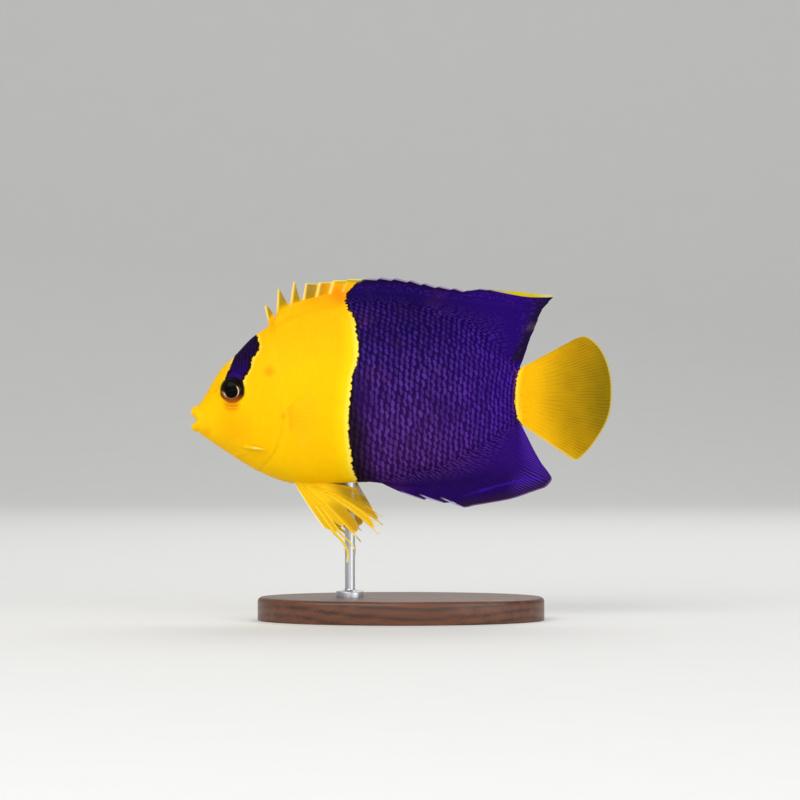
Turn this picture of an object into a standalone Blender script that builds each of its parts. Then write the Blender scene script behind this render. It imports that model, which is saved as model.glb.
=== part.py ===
# Bicolor angelfish, life size, as a still model held by a rod on a flat oval base.
#
# Fish sizes are in millimetres. Along the fish, x runs back from the front of the lips, y runs
# from the left flank (negative) to the right flank, and z is the height above the line of the
# body, which passes through the eye and the root of the tail. world() turns a fish point into
# the part's own frame: metres, +Z up, head towards -X, origin under the fish's middle on the
# underside of the base.

import math

import bmesh
import bpy
import numpy as np
from mathutils import Matrix, Vector

MM = 0.001
TOTAL_LENGTH = 126.6
AXIS_HEIGHT = 66.0
GAP = 0.3
SIDES = ((-1, "left"), (1, "right"))

# Outline of the trunk without its fins, as (x, z).
BACK = [
    (0.9, -4.3), (1.5, -2.8), (2.7, -1.3), (4.2, 0.9), (6.0, 4.1), (9.6, 9.8), (13.2, 13.2),
    (18.6, 18.8), (22.2, 21.4), (30.0, 25.4), (39.0, 28.3), (51.0, 29.7), (63.0, 29.1),
    (75.0, 26.3), (87.0, 20.6), (94.5, 14.2), (101.0, 8.6),
]
BELLY = [
    (0.9, -7.6), (1.5, -8.8), (2.7, -9.9), (6.6, -12.7), (10.5, -15.3), (18.0, -20.1),
    (22.5, -22.4), (30.6, -25.1), (39.0, -25.5), (48.0, -25.0), (56.0, -24.4), (66.0, -22.8),
    (78.0, -19.0), (88.5, -13.2), (94.5, -9.2), (101.0, -5.6),
]
# Half of the width at the widest level of each section, and the height of that level.
HALF_WIDTH = [
    (0.9, 1.3), (1.5, 2.2), (2.7, 3.0), (4.2, 3.7), (7.5, 5.0), (12.6, 7.2), (18.0, 8.7),
    (28.0, 10.2), (36.0, 10.6), (48.0, 10.2), (63.0, 8.8), (78.0, 6.2), (90.0, 3.5), (101.0, 2.0),
]
WIDEST_LEVEL = [(0.9, -6.0), (7.5, -5.0), (18.0, -5.2), (36.0, -4.6), (63.0, -1.5), (101.0, 1.4)]
# How sharply a section closes: 1 gives an ellipse, and more gives a narrower ridge.
RIDGE_ABOVE = [(0.9, 0.9), (13.0, 1.02), (24.0, 1.3), (60.0, 1.38), (101.0, 1.1)]
KEEL_BELOW = [(0.9, 0.9), (13.0, 1.05), (30.0, 1.0), (44.0, 0.95), (66.0, 1.25), (101.0, 1.1)]
RING_SIDES = 32
STATIONS = [0.9, 1.2, 1.7, 2.5, 3.4, 4.6, 6.2, 8.2, 10.4, 12.8, 15.2, 17.8, 20.6, 23.6, 26.8, 30.2] + list(
    np.arange(34.0, 102.0, 4.15)
)

# The gill opening, from the nape down to the throat, and the front edge of the gill cover.
GILL_OPENING = [
    (20.6, 26.0), (22.4, 20.4), (24.4, 15.0), (26.0, 9.6), (27.3, 4.2), (28.1, -1.0),
    (28.3, -6.0), (27.5, -11.0), (25.4, -15.8), (22.4, -19.6), (19.4, -22.6), (17.4, -26.0),
]
COVER_LEVELS = (-20.0, 10.0)
COVER_FRONT = [
    (20.3, -19.6), (19.1, -18.0), (18.8, -14.6), (19.3, -10.2), (20.2, -5.0), (21.0, 0.4),
    (22.0, 5.0), (23.8, 8.6),
]
OPENING_POINTS = 20
COVER_POINTS = 13
COVER_INNERMOST = 0.4
CUT_REACH = 20.0
CLEARANCE = 0.35
COVER_REACH = (14.0, 33.0)
COVER_THICKNESS = 1.3
COVER_STANDS_OUT = 0.45
COVER_SWELL = (21.0, 27.0)
STEM_X = 86.0
TAIL_ROOT_AT = (97.3, 1.4)
TAIL_ROOT_BULGE = 0.016
TAIL_ROOT_REACH = 10.0

CHEEK_SPINE_ROUTE = [
    (16.4, -13.7, -0.7), (17.6, -14.0, 0.3), (19.4, -14.3, 1.3), (21.4, -14.6, 1.65), (23.4, -14.9, 1.7),
]
CHEEK_SPINE_RADII = [0.85, 0.75, 0.6, 0.42, 0.12]

EYE_AT = (12.7, 3.3)
EYE_RADIUS = 3.65
EYE_HALF_DEPTH = 2.6
EYE_SUNK = 1.25
EYE_YAW = math.radians(9.0)
NOSTRILS = [((8.7, 4.0), 0.42), ((7.7, 2.7), 0.34)]

YELLOW = (0.98, 0.56, 0.01)
PURPLE = (0.035, 0.008, 0.12)


def clear_scene():
    for item in list(bpy.data.objects):
        bpy.data.objects.remove(item, do_unlink=True)


def world(x, y, z):
    return Vector(((x - TOTAL_LENGTH / 2) * MM, y * MM, (z + AXIS_HEIGHT) * MM))


def through(points, x):
    """The smooth curve through (x, value) points, as cubic spans with the slopes of the chords."""
    xs = np.array([p[0] for p in points], float)
    ys = np.array([p[1] for p in points], float)
    slopes = np.gradient(ys, xs)
    i = int(np.clip(np.searchsorted(xs, x) - 1, 0, len(xs) - 2))
    span = xs[i + 1] - xs[i]
    t = (np.clip(x, xs[0], xs[-1]) - xs[i]) / span
    near = (1 + 2 * t) * (1 - t) ** 2 * ys[i] + t * (1 - t) ** 2 * span * slopes[i]
    far = t * t * (3 - 2 * t) * ys[i + 1] + t * t * (t - 1) * span * slopes[i + 1]
    return float(near + far)


def blend(ends, share):
    return ends[0] + (ends[1] - ends[0]) * share


def along(points, share):
    """The point at a share of the length of a smooth line through points of any dimension."""
    spots = np.array(points, float)
    steps = np.linalg.norm(np.diff(spots, axis=0), axis=1)
    reach = np.concatenate([[0.0], np.cumsum(steps)]) / steps.sum()
    return [through(list(zip(reach, spots[:, k])), share) for k in range(spots.shape[1])]


def spread(line, first, last, count):
    """Points at even steps along a stretch of a line."""
    return [tuple(along(line, blend((first, last), k / (count - 1)))) for k in range(count)]


def section(x, grown=0.0):
    """Top, bottom, widest level, half width and the two closing powers of the body at x."""
    return (
        through(BACK, x) + grown,
        through(BELLY, x) - grown,
        through(WIDEST_LEVEL, x),
        max(through(HALF_WIDTH, x) + grown, 0.4),
        through(RIDGE_ABOVE, x),
        through(KEEL_BELOW, x),
    )


def flank(x, z, grown=0.0):
    """Half of the body's width at x and height z."""
    top, bottom, widest, half, ridge, keel = section(x, grown)
    rise = (z - widest) / (top - widest) if z > widest else (widest - z) / (widest - bottom)
    power = ridge if z > widest else keel
    return half * max(1 - min(abs(rise), 1) ** 2, 0.0) ** (power / 2)


def add_object(name, mesh_or_curve, group):
    made = bpy.data.objects.new(name, mesh_or_curve)
    group.objects.link(made)
    return made


def mesh_from(bm, name, group):
    mesh = bpy.data.meshes.new(name)
    bm.to_mesh(mesh)
    bm.free()
    return add_object(name, mesh, group)


def body_loft(name, group, grown=0.0, swell=None, reach=(0.0, 200.0)):
    """The body from muzzle to tail root, or the reach of it asked for, as rings closed at both ends."""
    bm = bmesh.new()
    rings = []
    for x in [station for station in STATIONS if reach[0] <= station <= reach[1]]:
        extra = grown + (swell(x) if swell else 0.0)
        top, bottom, widest, half, ridge, keel = section(x, extra)
        ring = []
        for k in range(RING_SIDES):
            turn = 2 * math.pi * k / RING_SIDES
            up, out = math.cos(turn), math.sin(turn)
            reach, power = (top - widest, ridge) if up > 0 else (widest - bottom, keel)
            y = half * math.copysign(abs(out) ** power, out)
            ring.append(bm.verts.new(world(x, y, widest + reach * up)))
        rings.append(ring)
    for first, second in zip(rings, rings[1:]):
        for k in range(RING_SIDES):
            j = (k + 1) % RING_SIDES
            bm.faces.new((first[k], first[j], second[j], second[k]))
    bm.faces.new(rings[0])
    bm.faces.new(list(reversed(rings[-1])))
    bmesh.ops.recalc_face_normals(bm, faces=bm.faces)
    bmesh.ops.triangulate(bm, faces=bm.faces)
    return mesh_from(bm, name, group)


def prism(name, outline, group, y_from=-CUT_REACH, y_to=CUT_REACH):
    """A flat outline in the side view, made solid from one y to another."""
    bm = bmesh.new()
    face = bm.faces.new([bm.verts.new(world(x, y_from, z)) for x, z in outline])
    made = bmesh.ops.extrude_face_region(bm, geom=[face])
    moved = [v for v in made["geom"] if isinstance(v, bmesh.types.BMVert)]
    bmesh.ops.translate(bm, verts=moved, vec=Vector((0, (y_to - y_from) * MM, 0)))
    bmesh.ops.recalc_face_normals(bm, faces=bm.faces)
    bmesh.ops.triangulate(bm, faces=bm.faces)
    return mesh_from(bm, name, group)


def shifted(line, distance):
    """A line in the side view moved sideways, to its left as it runs."""
    spots = np.array(line, float)
    run = np.gradient(spots, axis=0)
    run /= np.linalg.norm(run, axis=1)[:, None]
    return [tuple(p) for p in spots + distance * np.stack([-run[:, 1], run[:, 0]], axis=1)]


def evaluated_mesh(item):
    graph = bpy.context.evaluated_depsgraph_get()
    return bpy.data.meshes.new_from_object(item.evaluated_get(graph))


def apply_modifiers(item):
    mesh = evaluated_mesh(item)
    item.modifiers.clear()
    item.data = mesh


def boolean(item, other, operation, solver="EXACT"):
    cut = item.modifiers.new("cut", "BOOLEAN")
    cut.operation = operation
    cut.solver = solver
    cut.object = other
    apply_modifiers(item)


def join_pieces(item, pieces):
    """Fuses closed pieces into item with one union, and removes them."""
    group = bpy.data.collections.new("joined_pieces")
    bpy.context.scene.collection.children.link(group)
    for piece in pieces:
        for user in list(piece.users_collection):
            user.objects.unlink(piece)
        group.objects.link(piece)
    union = item.modifiers.new("join", "BOOLEAN")
    union.operation = "UNION"
    union.operand_type = "COLLECTION"
    union.collection = group
    apply_modifiers(item)
    for piece in pieces:
        bpy.data.objects.remove(piece, do_unlink=True)
    bpy.data.collections.remove(group)


def keep_largest(item):
    """Leaves only the closed surface with the largest volume."""
    bm = bmesh.new()
    bm.from_mesh(item.data)
    bmesh.ops.remove_doubles(bm, verts=bm.verts, dist=1e-6)
    bmesh.ops.triangulate(bm, faces=bm.faces)
    left, shells = set(bm.verts), []
    while left:
        shell, edge = set(), [left.pop()]
        while edge:
            vert = edge.pop()
            shell.add(vert)
            for link in vert.link_edges:
                other = link.other_vert(vert)
                if other in left:
                    left.discard(other)
                    edge.append(other)
        faces = {f for v in shell for f in v.link_faces}
        volume = sum(f.verts[0].co.dot(f.verts[1].co.cross(f.verts[2].co)) for f in faces) / 6
        shells.append((abs(volume), shell))
    shells.sort(key=lambda pair: pair[0])
    for _, shell in shells[:-1]:
        bmesh.ops.delete(bm, geom=list(shell), context="VERTS")
    bm.to_mesh(item.data)
    bm.free()


def tube(name, points, radii, group, sides=4):
    """A round bar along points, with a radius at each, as a closed mesh."""
    curve = bpy.data.curves.new(name, "CURVE")
    curve.dimensions = "3D"
    curve.bevel_depth = MM
    curve.bevel_resolution = sides
    curve.use_fill_caps = True
    line = curve.splines.new("POLY")
    line.points.add(len(points) - 1)
    for spot, point, radius in zip(line.points, points, radii):
        spot.co = (*world(*point), 1.0)
        spot.radius = radius
    bar = add_object(name, curve, group)
    mesh = evaluated_mesh(bar)
    bpy.data.objects.remove(bar, do_unlink=True)
    bm = bmesh.new()
    bm.from_mesh(mesh)
    bmesh.ops.remove_doubles(bm, verts=bm.verts, dist=1e-6)
    bmesh.ops.recalc_face_normals(bm, faces=bm.faces)
    return mesh_from(bm, name, group)


def ball(name, centre, radii, group, segments=20, rings=12, yaw=0.0):
    bm = bmesh.new()
    bmesh.ops.create_uvsphere(bm, u_segments=segments, v_segments=rings, radius=MM)
    lie = Matrix.Rotation(yaw, 4, "Z") @ Matrix.Diagonal((*radii, 1))
    poles_out = Matrix.Rotation(math.pi / 2, 4, "X")
    bmesh.ops.transform(bm, matrix=Matrix.Translation(world(*centre)) @ lie @ poles_out, verts=bm.verts)
    return mesh_from(bm, name, group)


def material(name, colour, roughness, metallic=0.0):
    made = bpy.data.materials.new(name)
    made.use_nodes = True
    shader = made.node_tree.nodes["Principled BSDF"]
    shader.inputs["Base Color"].default_value = (*colour, 1.0)
    shader.inputs["Roughness"].default_value = roughness
    shader.inputs["Metallic"].default_value = metallic
    return made


def finish_node(item, name, finish, group):
    item.name = name
    item.data.name = name
    item.data.materials.clear()
    item.data.materials.append(finish)
    for user in list(item.users_collection):
        user.objects.unlink(item)
    group.objects.link(item)
    item.data.shade_smooth()
    item.data.set_sharp_from_angle(angle=math.radians(32))


# The mouth: two lips that bow round the front of the muzzle and meet at the corners.
MOUTH_CORNER = (3.0, 3.0, -5.9)
UPPER_LIP_FRONT = (1.3, -3.0, 1.25)
LOWER_LIP_FRONT = (1.2, -8.2, 0.98)
LIP_CORNER_RADIUS = 0.55
LIP_POINTS = 11
GAPE = [(-2.0, -3.2), (2.7, -5.9), (-2.0, -8.6)]
MOUTH_HOLLOW = ((1.0, 0.0, -5.9), (4.2, 2.3, 1.5))


def lip(name, front, group):
    """One lip, thick at the front and thinning to the corners of the mouth."""
    front_x, front_z, front_radius = front
    points, radii = [], []
    for k in range(LIP_POINTS):
        turn = math.pi * (k / (LIP_POINTS - 1) - 0.5)
        side = math.sin(turn)
        ahead = math.cos(turn)
        points.append((
            MOUTH_CORNER[0] + (front_x - MOUTH_CORNER[0]) * ahead,
            MOUTH_CORNER[1] * side,
            MOUTH_CORNER[2] + (front_z - MOUTH_CORNER[2]) * ahead ** 0.8,
        ))
        radii.append(LIP_CORNER_RADIUS + (front_radius - LIP_CORNER_RADIUS) * ahead)
    return tube(name, points, radii, group)


def cheek_spine(side, group):
    """The long spine at the lower corner of the cheek plate, which lies clear of the gill cover."""
    points = [(x, side * (flank(x, z) + off), z) for x, z, off in CHEEK_SPINE_ROUTE]
    return tube("cheek_spine", points, CHEEK_SPINE_RADII, group, sides=2)


def tail_root_x(z):
    """The curve on which the tail fin grows from its stem."""
    return TAIL_ROOT_AT[0] + TAIL_ROOT_BULGE * (z - TAIL_ROOT_AT[1]) ** 2


def whole_body(group, helpers):
    """The body in one piece, with its mouth opened and its lips on."""
    whole = body_loft("whole", helpers)
    boolean(whole, prism("gape", GAPE, helpers), "DIFFERENCE")
    boolean(whole, ball("mouth_hollow", *MOUTH_HOLLOW, helpers), "DIFFERENCE")
    lips = [lip("upper_lip", UPPER_LIP_FRONT, helpers), lip("lower_lip", LOWER_LIP_FRONT, helpers)]
    join_pieces(whole, lips)
    return whole


def part_body(group, helpers):
    """The head, trunk and tail stem, parted from the whole body with thin cuts."""
    whole = whole_body(group, helpers)
    opening = spread(GILL_OPENING, 0.0, 1.0, OPENING_POINTS)
    top, bottom = opening[0][1], opening[-1][1]
    high, low = 2 * CUT_REACH, -2 * CUT_REACH
    middle = TAIL_ROOT_AT[1]
    root = [
        (tail_root_x(z), z)
        for z in np.linspace(middle - TAIL_ROOT_REACH, middle + TAIL_ROOT_REACH, 13)
    ]
    areas = {
        "head": shifted(opening, -GAP / 2) + [(-CUT_REACH, bottom), (-CUT_REACH, top)],
        "trunk": shifted(opening, GAP / 2) + [
            (opening[-1][0], low), (STEM_X - GAP / 2, low), (STEM_X - GAP / 2, high), (opening[0][0], high),
        ],
        "tail_stem": [(STEM_X + GAP / 2, high), (STEM_X + GAP / 2, low), (root[0][0], low)]
        + root + [(root[-1][0], high)],
    }
    parts = {}
    for name, area in areas.items():
        parts[name] = add_object(name, whole.data.copy(), group)
        boolean(parts[name], prism(name + "_area", area, helpers), "INTERSECT")
    return parts, opening


def add_gill_covers(parts, opening, group, helpers):
    """Gives the head its gill covers, each in a pocket that is cut for it, and its cheek spines."""
    head = parts["head"]
    rear = [spot for spot in opening if COVER_LEVELS[0] < spot[1] < COVER_LEVELS[1]]
    rear = shifted(rear, -GAP / 2)
    front = spread(COVER_FRONT, 0.0, 1.0, COVER_POINTS)
    cover_area = rear + front
    pocket_area = shifted([rear[-1]] + front + [rear[0]], GAP)
    pocket_area += [(COVER_REACH[1], rear[0][1] + GAP), (COVER_REACH[1], rear[-1][1] - GAP)]

    def swell(x):
        rise = (x - COVER_SWELL[0]) / (COVER_SWELL[1] - COVER_SWELL[0])
        return COVER_STANDS_OUT * min(max(rise, 0.0), 1.0)

    outer = body_loft("cover_outside", helpers, swell=swell)
    inner = body_loft("cover_inside", helpers, grown=-COVER_THICKNESS, reach=COVER_REACH)
    inmost = body_loft("pocket_floor", helpers, grown=-COVER_THICKNESS - GAP, reach=COVER_REACH)
    spines = []
    for side, label in SIDES:
        span = sorted((COVER_INNERMOST * side, CUT_REACH * side))
        cover = add_object(label + "_gill_cover", outer.data.copy(), group)
        boolean(cover, prism(label + "_cover_area", cover_area, helpers, *span), "INTERSECT")
        boolean(cover, inner, "DIFFERENCE")
        pocket = prism(label + "_pocket", pocket_area, helpers, *span)
        boolean(pocket, inmost, "DIFFERENCE")
        boolean(head, pocket, "DIFFERENCE")
        spines.append(cheek_spine(side, helpers))
        parts[label + "_gill_cover"] = cover
    join_pieces(head, spines)


def eye_centre(side):
    x, z = EYE_AT
    return (x, side * (flank(x, z) - EYE_SUNK), z)


def bore_eyes_and_nostrils(head, helpers):
    for side, _ in SIDES:
        radii = [EYE_RADIUS + GAP, EYE_HALF_DEPTH + GAP, EYE_RADIUS + GAP]
        boolean(head, ball("socket", eye_centre(side), radii, helpers, 24, 12, side * EYE_YAW), "DIFFERENCE")
        for (x, z), radius in NOSTRILS:
            pit = ball("nostril", (x, side * flank(x, z), z), [radius, 2 * radius, radius], helpers, 8, 6)
            boolean(head, pit, "DIFFERENCE")


def build_eyes(group):
    eyes = {}
    for side, label in SIDES:
        radii = [EYE_RADIUS, EYE_HALF_DEPTH, EYE_RADIUS]
        eyes[label + "_eye"] = ball(label + "_eye", eye_centre(side), radii, group, 20, 10, side * EYE_YAW)
    return eyes


# A fin is a sheet with one column of points on each ray and one on either side of it. A vertex
# group sets how thick the sheet is made, so that the rays stand up as ridges on the web.
RAY_HALF_WIDTH = 0.28
WEB_THICKNESS = 0.5
RAY_THICKNESS = 0.95
TIP_THICKNESS = 0.34
ROW_EASE = 1.25
SOFT_CUT = 0.02


def ray_point(ray, share):
    """A point on a ray, which runs from its root to its tip and may bow between them."""
    root, tip, bow = (Vector(p) for p in ray)
    return root.lerp(tip, share) + bow * math.sin(math.pi * share)


def fin(name, rays, cuts, rows, group, root_thickness=2.6, sheath=0.35):
    """A fin from its rays. cuts[i] is how far the web is cut back where it meets ray i from the front."""
    shares = [(r / rows) ** ROW_EASE for r in range(rows + 1)]
    columns = []
    last = len(rays) - 1
    for i, ray in enumerate(rays):
        if i > 0:
            columns.append((i, i - 1, 1 - cuts[i]))
        columns.append((i, None, 1.0))
        if i < last:
            columns.append((i, i + 1, 1.0))
    bm = bmesh.new()
    weight = bm.verts.layers.deform.verify()
    most = max(root_thickness, RAY_THICKNESS)
    grid = []
    for i, beside, reach in columns:
        column = []
        for share in [reach * step for step in shares]:
            spot = ray_point(rays[i], share)
            if beside is not None:
                other = ray_point(rays[beside], share)
                apart = max((other - spot).length, 1e-6)
                spot = spot.lerp(other, min(RAY_HALF_WIDTH / apart, 0.36))
            vert = bm.verts.new(world(*spot))
            high = RAY_THICKNESS if beside is None else WEB_THICKNESS
            thick = high + (TIP_THICKNESS - high) * share ** 3
            thick += (root_thickness - thick) * max(1 - share / sheath, 0.0) ** 1.5
            vert[weight][0] = thick / most
            column.append(vert)
        grid.append(column)
    for first, second in zip(grid, grid[1:]):
        for r in range(rows):
            bm.faces.new((first[r], second[r], second[r + 1], first[r + 1]))
    bmesh.ops.recalc_face_normals(bm, faces=bm.faces)
    bmesh.ops.triangulate(bm, faces=bm.faces)
    item = mesh_from(bm, name, group)
    item.vertex_groups.new(name="thickness")
    wall = item.modifiers.new("wall", "SOLIDIFY")
    wall.thickness = most * MM
    wall.offset = 0.0
    wall.use_even_offset = False
    wall.vertex_group = "thickness"
    apply_modifiers(item)
    return item


# The dorsal fin: spines with a cut web in front, then soft rays to a point over the tail.
DORSAL_SPINE_TIPS = [
    (22.4, 28.0), (26.3, 33.1), (31.05, 35.5), (34.7, 35.1), (38.9, 35.3), (43.1, 35.9),
    (47.4, 36.3), (52.2, 36.6), (57.1, 36.8), (61.5, 36.6), (66.3, 36.0), (70.5, 35.1),
    (74.9, 34.2), (79.5, 33.6), (83.4, 33.0),
]
DORSAL_WEB_CUTS = [0.0, 0.72, 0.55, 0.5, 0.1]
DORSAL_LATER_CUT = 0.07
DORSAL_ROOT_X = (24.4, 71.5, 97.0)
DORSAL_SOFT_MARGIN = [
    (87.0, 33.4), (95.0, 32.9), (103.0, 31.9), (109.2, 31.0), (107.2, 28.9), (105.0, 25.9),
    (104.0, 22.8), (102.3, 19.0), (100.2, 12.9), (98.9, 9.6),
]
DORSAL_SOFT_RAYS = 16
DORSAL_SOFT_BOW = 0.5
DORSAL_SPINES_END = 2.6
ROOT_DEPTH = 1.2


def on_back(x):
    return (x, 0.0, through(BACK, x) - ROOT_DEPTH)


def on_belly(x):
    return (x, 0.0, through(BELLY, x) + ROOT_DEPTH)


def build_dorsal(group):
    count = len(DORSAL_SPINE_TIPS)
    first, soft, last = DORSAL_ROOT_X
    rays, cuts = [], []
    for i, (x, z) in enumerate(DORSAL_SPINE_TIPS):
        root = on_back(first + (soft - DORSAL_SPINES_END - first) * i / (count - 1))
        rays.append((root, (x, 0.0, z), (0, 0, 0)))
        cuts.append(DORSAL_WEB_CUTS[i] if i < len(DORSAL_WEB_CUTS) else DORSAL_LATER_CUT)
    for k, (x, z) in enumerate(spread(DORSAL_SOFT_MARGIN, 0.0, 1.0, DORSAL_SOFT_RAYS)):
        root = on_back(soft + (last - soft) * k / (DORSAL_SOFT_RAYS - 1))
        rays.append((root, (x, 0.0, z), (0, 0, DORSAL_SOFT_BOW)))
        cuts.append(SOFT_CUT)
    return fin("dorsal_fin", rays, cuts, 5, group, root_thickness=3.2, sheath=0.55)


# The anal fin: three spines, then soft rays to a point under the tail.
ANAL_SPINE_TIPS = [(69.9, -29.9), (75.6, -30.8), (81.9, -32.2)]
ANAL_ROOT_X = (57.0, 70.0, 96.9)
ANAL_SOFT_MARGIN = [
    (85.5, -32.1), (91.0, -30.5), (98.0, -28.9), (104.0, -26.6), (108.7, -23.7), (106.4, -20.4),
    (103.3, -15.2), (101.0, -10.6), (99.2, -7.0),
]
ANAL_SOFT_RAYS = 17
ANAL_SOFT_BOW = -0.4
ANAL_SPINES_END = 3.4
ANAL_SPINE_CUTS = [0.0, 0.16, 0.16]


def build_anal(group):
    first, soft, last = ANAL_ROOT_X
    rays, cuts = [], []
    for i, (x, z) in enumerate(ANAL_SPINE_TIPS):
        root = on_belly(first + (soft - ANAL_SPINES_END - first) * i / (len(ANAL_SPINE_TIPS) - 1))
        rays.append((root, (x, 0.0, z), (0, 0, 0)))
        cuts.append(ANAL_SPINE_CUTS[i])
    for k, (x, z) in enumerate(spread(ANAL_SOFT_MARGIN, 0.0, 1.0, ANAL_SOFT_RAYS)):
        root = on_belly(soft + (last - soft) * k / (ANAL_SOFT_RAYS - 1))
        rays.append((root, (x, 0.0, z), (0, 0, ANAL_SOFT_BOW)))
        cuts.append(SOFT_CUT)
    return fin("anal_fin", rays, cuts, 5, group, root_thickness=3.0, sheath=0.55)


# The tail fin: a fan with a round hind edge.
TAIL_RAYS = 17
TAIL_ROOT_LEVELS = (9.0, -6.2)
TAIL_TIPS_SPAN = (0.13, 0.875)
TAIL_CUT = 0.012
TAIL_MARGIN = [
    (102.0, 11.0), (109.6, 15.0), (114.4, 17.8), (118.6, 19.1), (121.9, 17.0), (124.6, 12.9),
    (126.2, 7.6), (126.6, 2.0), (125.8, -4.5), (122.6, -10.9), (118.4, -16.2), (116.3, -17.9),
    (114.2, -17.9), (110.1, -16.0), (106.4, -12.8), (102.4, -8.6),
]


def build_tail(group):
    rays, cuts = [], []
    for k in range(TAIL_RAYS):
        share = k / (TAIL_RAYS - 1)
        z = blend(TAIL_ROOT_LEVELS, share)
        tip = along(TAIL_MARGIN, blend(TAIL_TIPS_SPAN, share))
        rays.append(((tail_root_x(z) + GAP, 0.0, z), (tip[0], 0.0, tip[1]), (0, 0, 0)))
        cuts.append(TAIL_CUT)
    return fin("tail_fin", rays, cuts, 5, group, root_thickness=3.6, sheath=0.4)


# The pelvic fins: a spine and five soft rays, the first drawn out into a long thread.
PELVIC_ROOT = [(31.2, 2.1, -24.6), (35.4, 2.1, -24.9)]
PELVIC_RAYS = [
    ((40.6, -38.6), (0.0, -0.6)), ((47.2, -48.2), (1.7, 1.7)), ((49.7, -40.3), (0.3, 0.3)),
    ((50.1, -38.0), (0.2, 0.3)), ((56.5, -39.4), (0.8, 1.5)), ((53.7, -35.0), (0.5, 1.1)),
    ((49.6, -26.7), (0.0, 0.6)),
]
PELVIC_CUTS = [0.0, 0.33, 0.42, 0.1, 0.42, 0.2, 0.06]
PELVIC_FLARE = math.tan(math.radians(13.0))
PELVIC_TURN = {"left": 0.0, "right": math.radians(5.0)}


def build_pelvic(label, side, group):
    rays = []
    pivot = PELVIC_ROOT[0]
    turn = PELVIC_TURN[label]
    for i, ((x, z), (bow_x, bow_z)) in enumerate(PELVIC_RAYS):
        root = along(PELVIC_ROOT, i / (len(PELVIC_RAYS) - 1))
        dx, dz = x - pivot[0], z - pivot[2]
        x = pivot[0] + dx * math.cos(turn) - dz * math.sin(turn)
        z = pivot[2] + dx * math.sin(turn) + dz * math.cos(turn)
        out = root[1] + (root[2] - z) * PELVIC_FLARE
        rays.append(((root[0], side * root[1], root[2]), (x, side * out, z), (bow_x, 0.0, bow_z)))
    return fin(label + "_pelvic_fin", rays, PELVIC_CUTS, 6, group, root_thickness=1.5, sheath=0.25)


# The pectoral fins: clear round fans behind the gill covers, held out from the body.
PECTORAL_RAYS = 14
PECTORAL_ROOT = [(29.5, -2.4), (30.1, -7.6)]
PECTORAL_LENGTH = 18.5
PECTORAL_RAY_LENGTHS = [(0.0, 0.84), (0.25, 0.95), (0.5, 0.92), (0.75, 0.8), (1.0, 0.67)]
PECTORAL_OUT = math.radians(58.0)
PECTORAL_FAN = (math.radians(20.0), math.radians(-42.0))
PECTORAL_ROOT_DEPTH = 0.9
PECTORAL_BOW = (-0.5, 0.9)
PECTORAL_CUT = 0.03


def build_pectoral(label, side, group):
    rays, cuts = [], []
    for k in range(PECTORAL_RAYS):
        share = k / (PECTORAL_RAYS - 1)
        x, z = along(PECTORAL_ROOT, share)
        y = flank(x, z) - PECTORAL_ROOT_DEPTH
        lift = blend(PECTORAL_FAN, share)
        length = PECTORAL_LENGTH * through(PECTORAL_RAY_LENGTHS, share)
        back = length * math.cos(lift) * math.cos(PECTORAL_OUT)
        out = length * math.cos(lift) * math.sin(PECTORAL_OUT)
        tip = (x + back, side * (y + out), z + length * math.sin(lift))
        rays.append(((x, side * y, z), tip, (PECTORAL_BOW[0], side * PECTORAL_BOW[1], 0.0)))
        cuts.append(PECTORAL_CUT)
    return fin(label + "_pectoral_fin", rays, cuts, 4, group, root_thickness=1.3, sheath=0.25)


# The stand: an oval base and one turned rod up to the belly.
BASE_HALF_LENGTH = 43.0
BASE_HALF_DEPTH = 26.0
BASE_HEIGHT = 7.0
BASE_EDGE = 1.4
ROD_X = 48.0
ROD_RADIUS = 1.5
FOOT_RADIUS = 4.2
FOOT_HEIGHT = 1.4
FOOT_EDGE = 0.4
FOOT_FILLET = 0.8
ROD_TOP_DEPTH = 20.0


def build_base(group):
    bm = bmesh.new()
    bmesh.ops.create_cone(
        bm, cap_ends=True, segments=56, radius1=1.0, radius2=1.0, depth=BASE_HEIGHT * MM,
        matrix=Matrix.Translation((0, 0, BASE_HEIGHT * MM / 2)),
    )
    bmesh.ops.scale(bm, vec=(BASE_HALF_LENGTH * MM, BASE_HALF_DEPTH * MM, 1), verts=bm.verts)
    rim = [e for e in bm.edges if all(v.co.z > BASE_HEIGHT * MM * 0.9 for v in e.verts)]
    bmesh.ops.bevel(bm, geom=rim, offset=BASE_EDGE * MM, segments=2, profile=0.5, affect="EDGES", material=-1)
    return mesh_from(bm, "stand_base", group)


def build_rod(group, clearance):
    bm = bmesh.new()
    foot = BASE_HEIGHT + GAP
    collar = foot + FOOT_HEIGHT
    top = AXIS_HEIGHT - ROD_TOP_DEPTH
    profile = [
        (0.0, top), (ROD_RADIUS, top), (ROD_RADIUS, collar + FOOT_FILLET),
        (ROD_RADIUS + FOOT_FILLET, collar), (FOOT_RADIUS - FOOT_EDGE, collar),
        (FOOT_RADIUS, collar - FOOT_EDGE), (FOOT_RADIUS, foot), (0.0, foot),
    ]
    verts = [bm.verts.new((r * MM, 0, z * MM)) for r, z in profile]
    edges = [bm.edges.new(pair) for pair in zip(verts, verts[1:])]
    bmesh.ops.spin(bm, geom=verts + edges, cent=(0, 0, 0), axis=(0, 0, 1), angle=2 * math.pi, steps=24, use_merge=True)
    bmesh.ops.remove_doubles(bm, verts=bm.verts, dist=1e-6)
    bmesh.ops.recalc_face_normals(bm, faces=bm.faces)
    bmesh.ops.translate(bm, verts=bm.verts, vec=((ROD_X - TOTAL_LENGTH / 2) * MM, 0, 0))
    rod = mesh_from(bm, "stand_rod", group)
    boolean(rod, clearance, "DIFFERENCE")
    return rod


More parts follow.
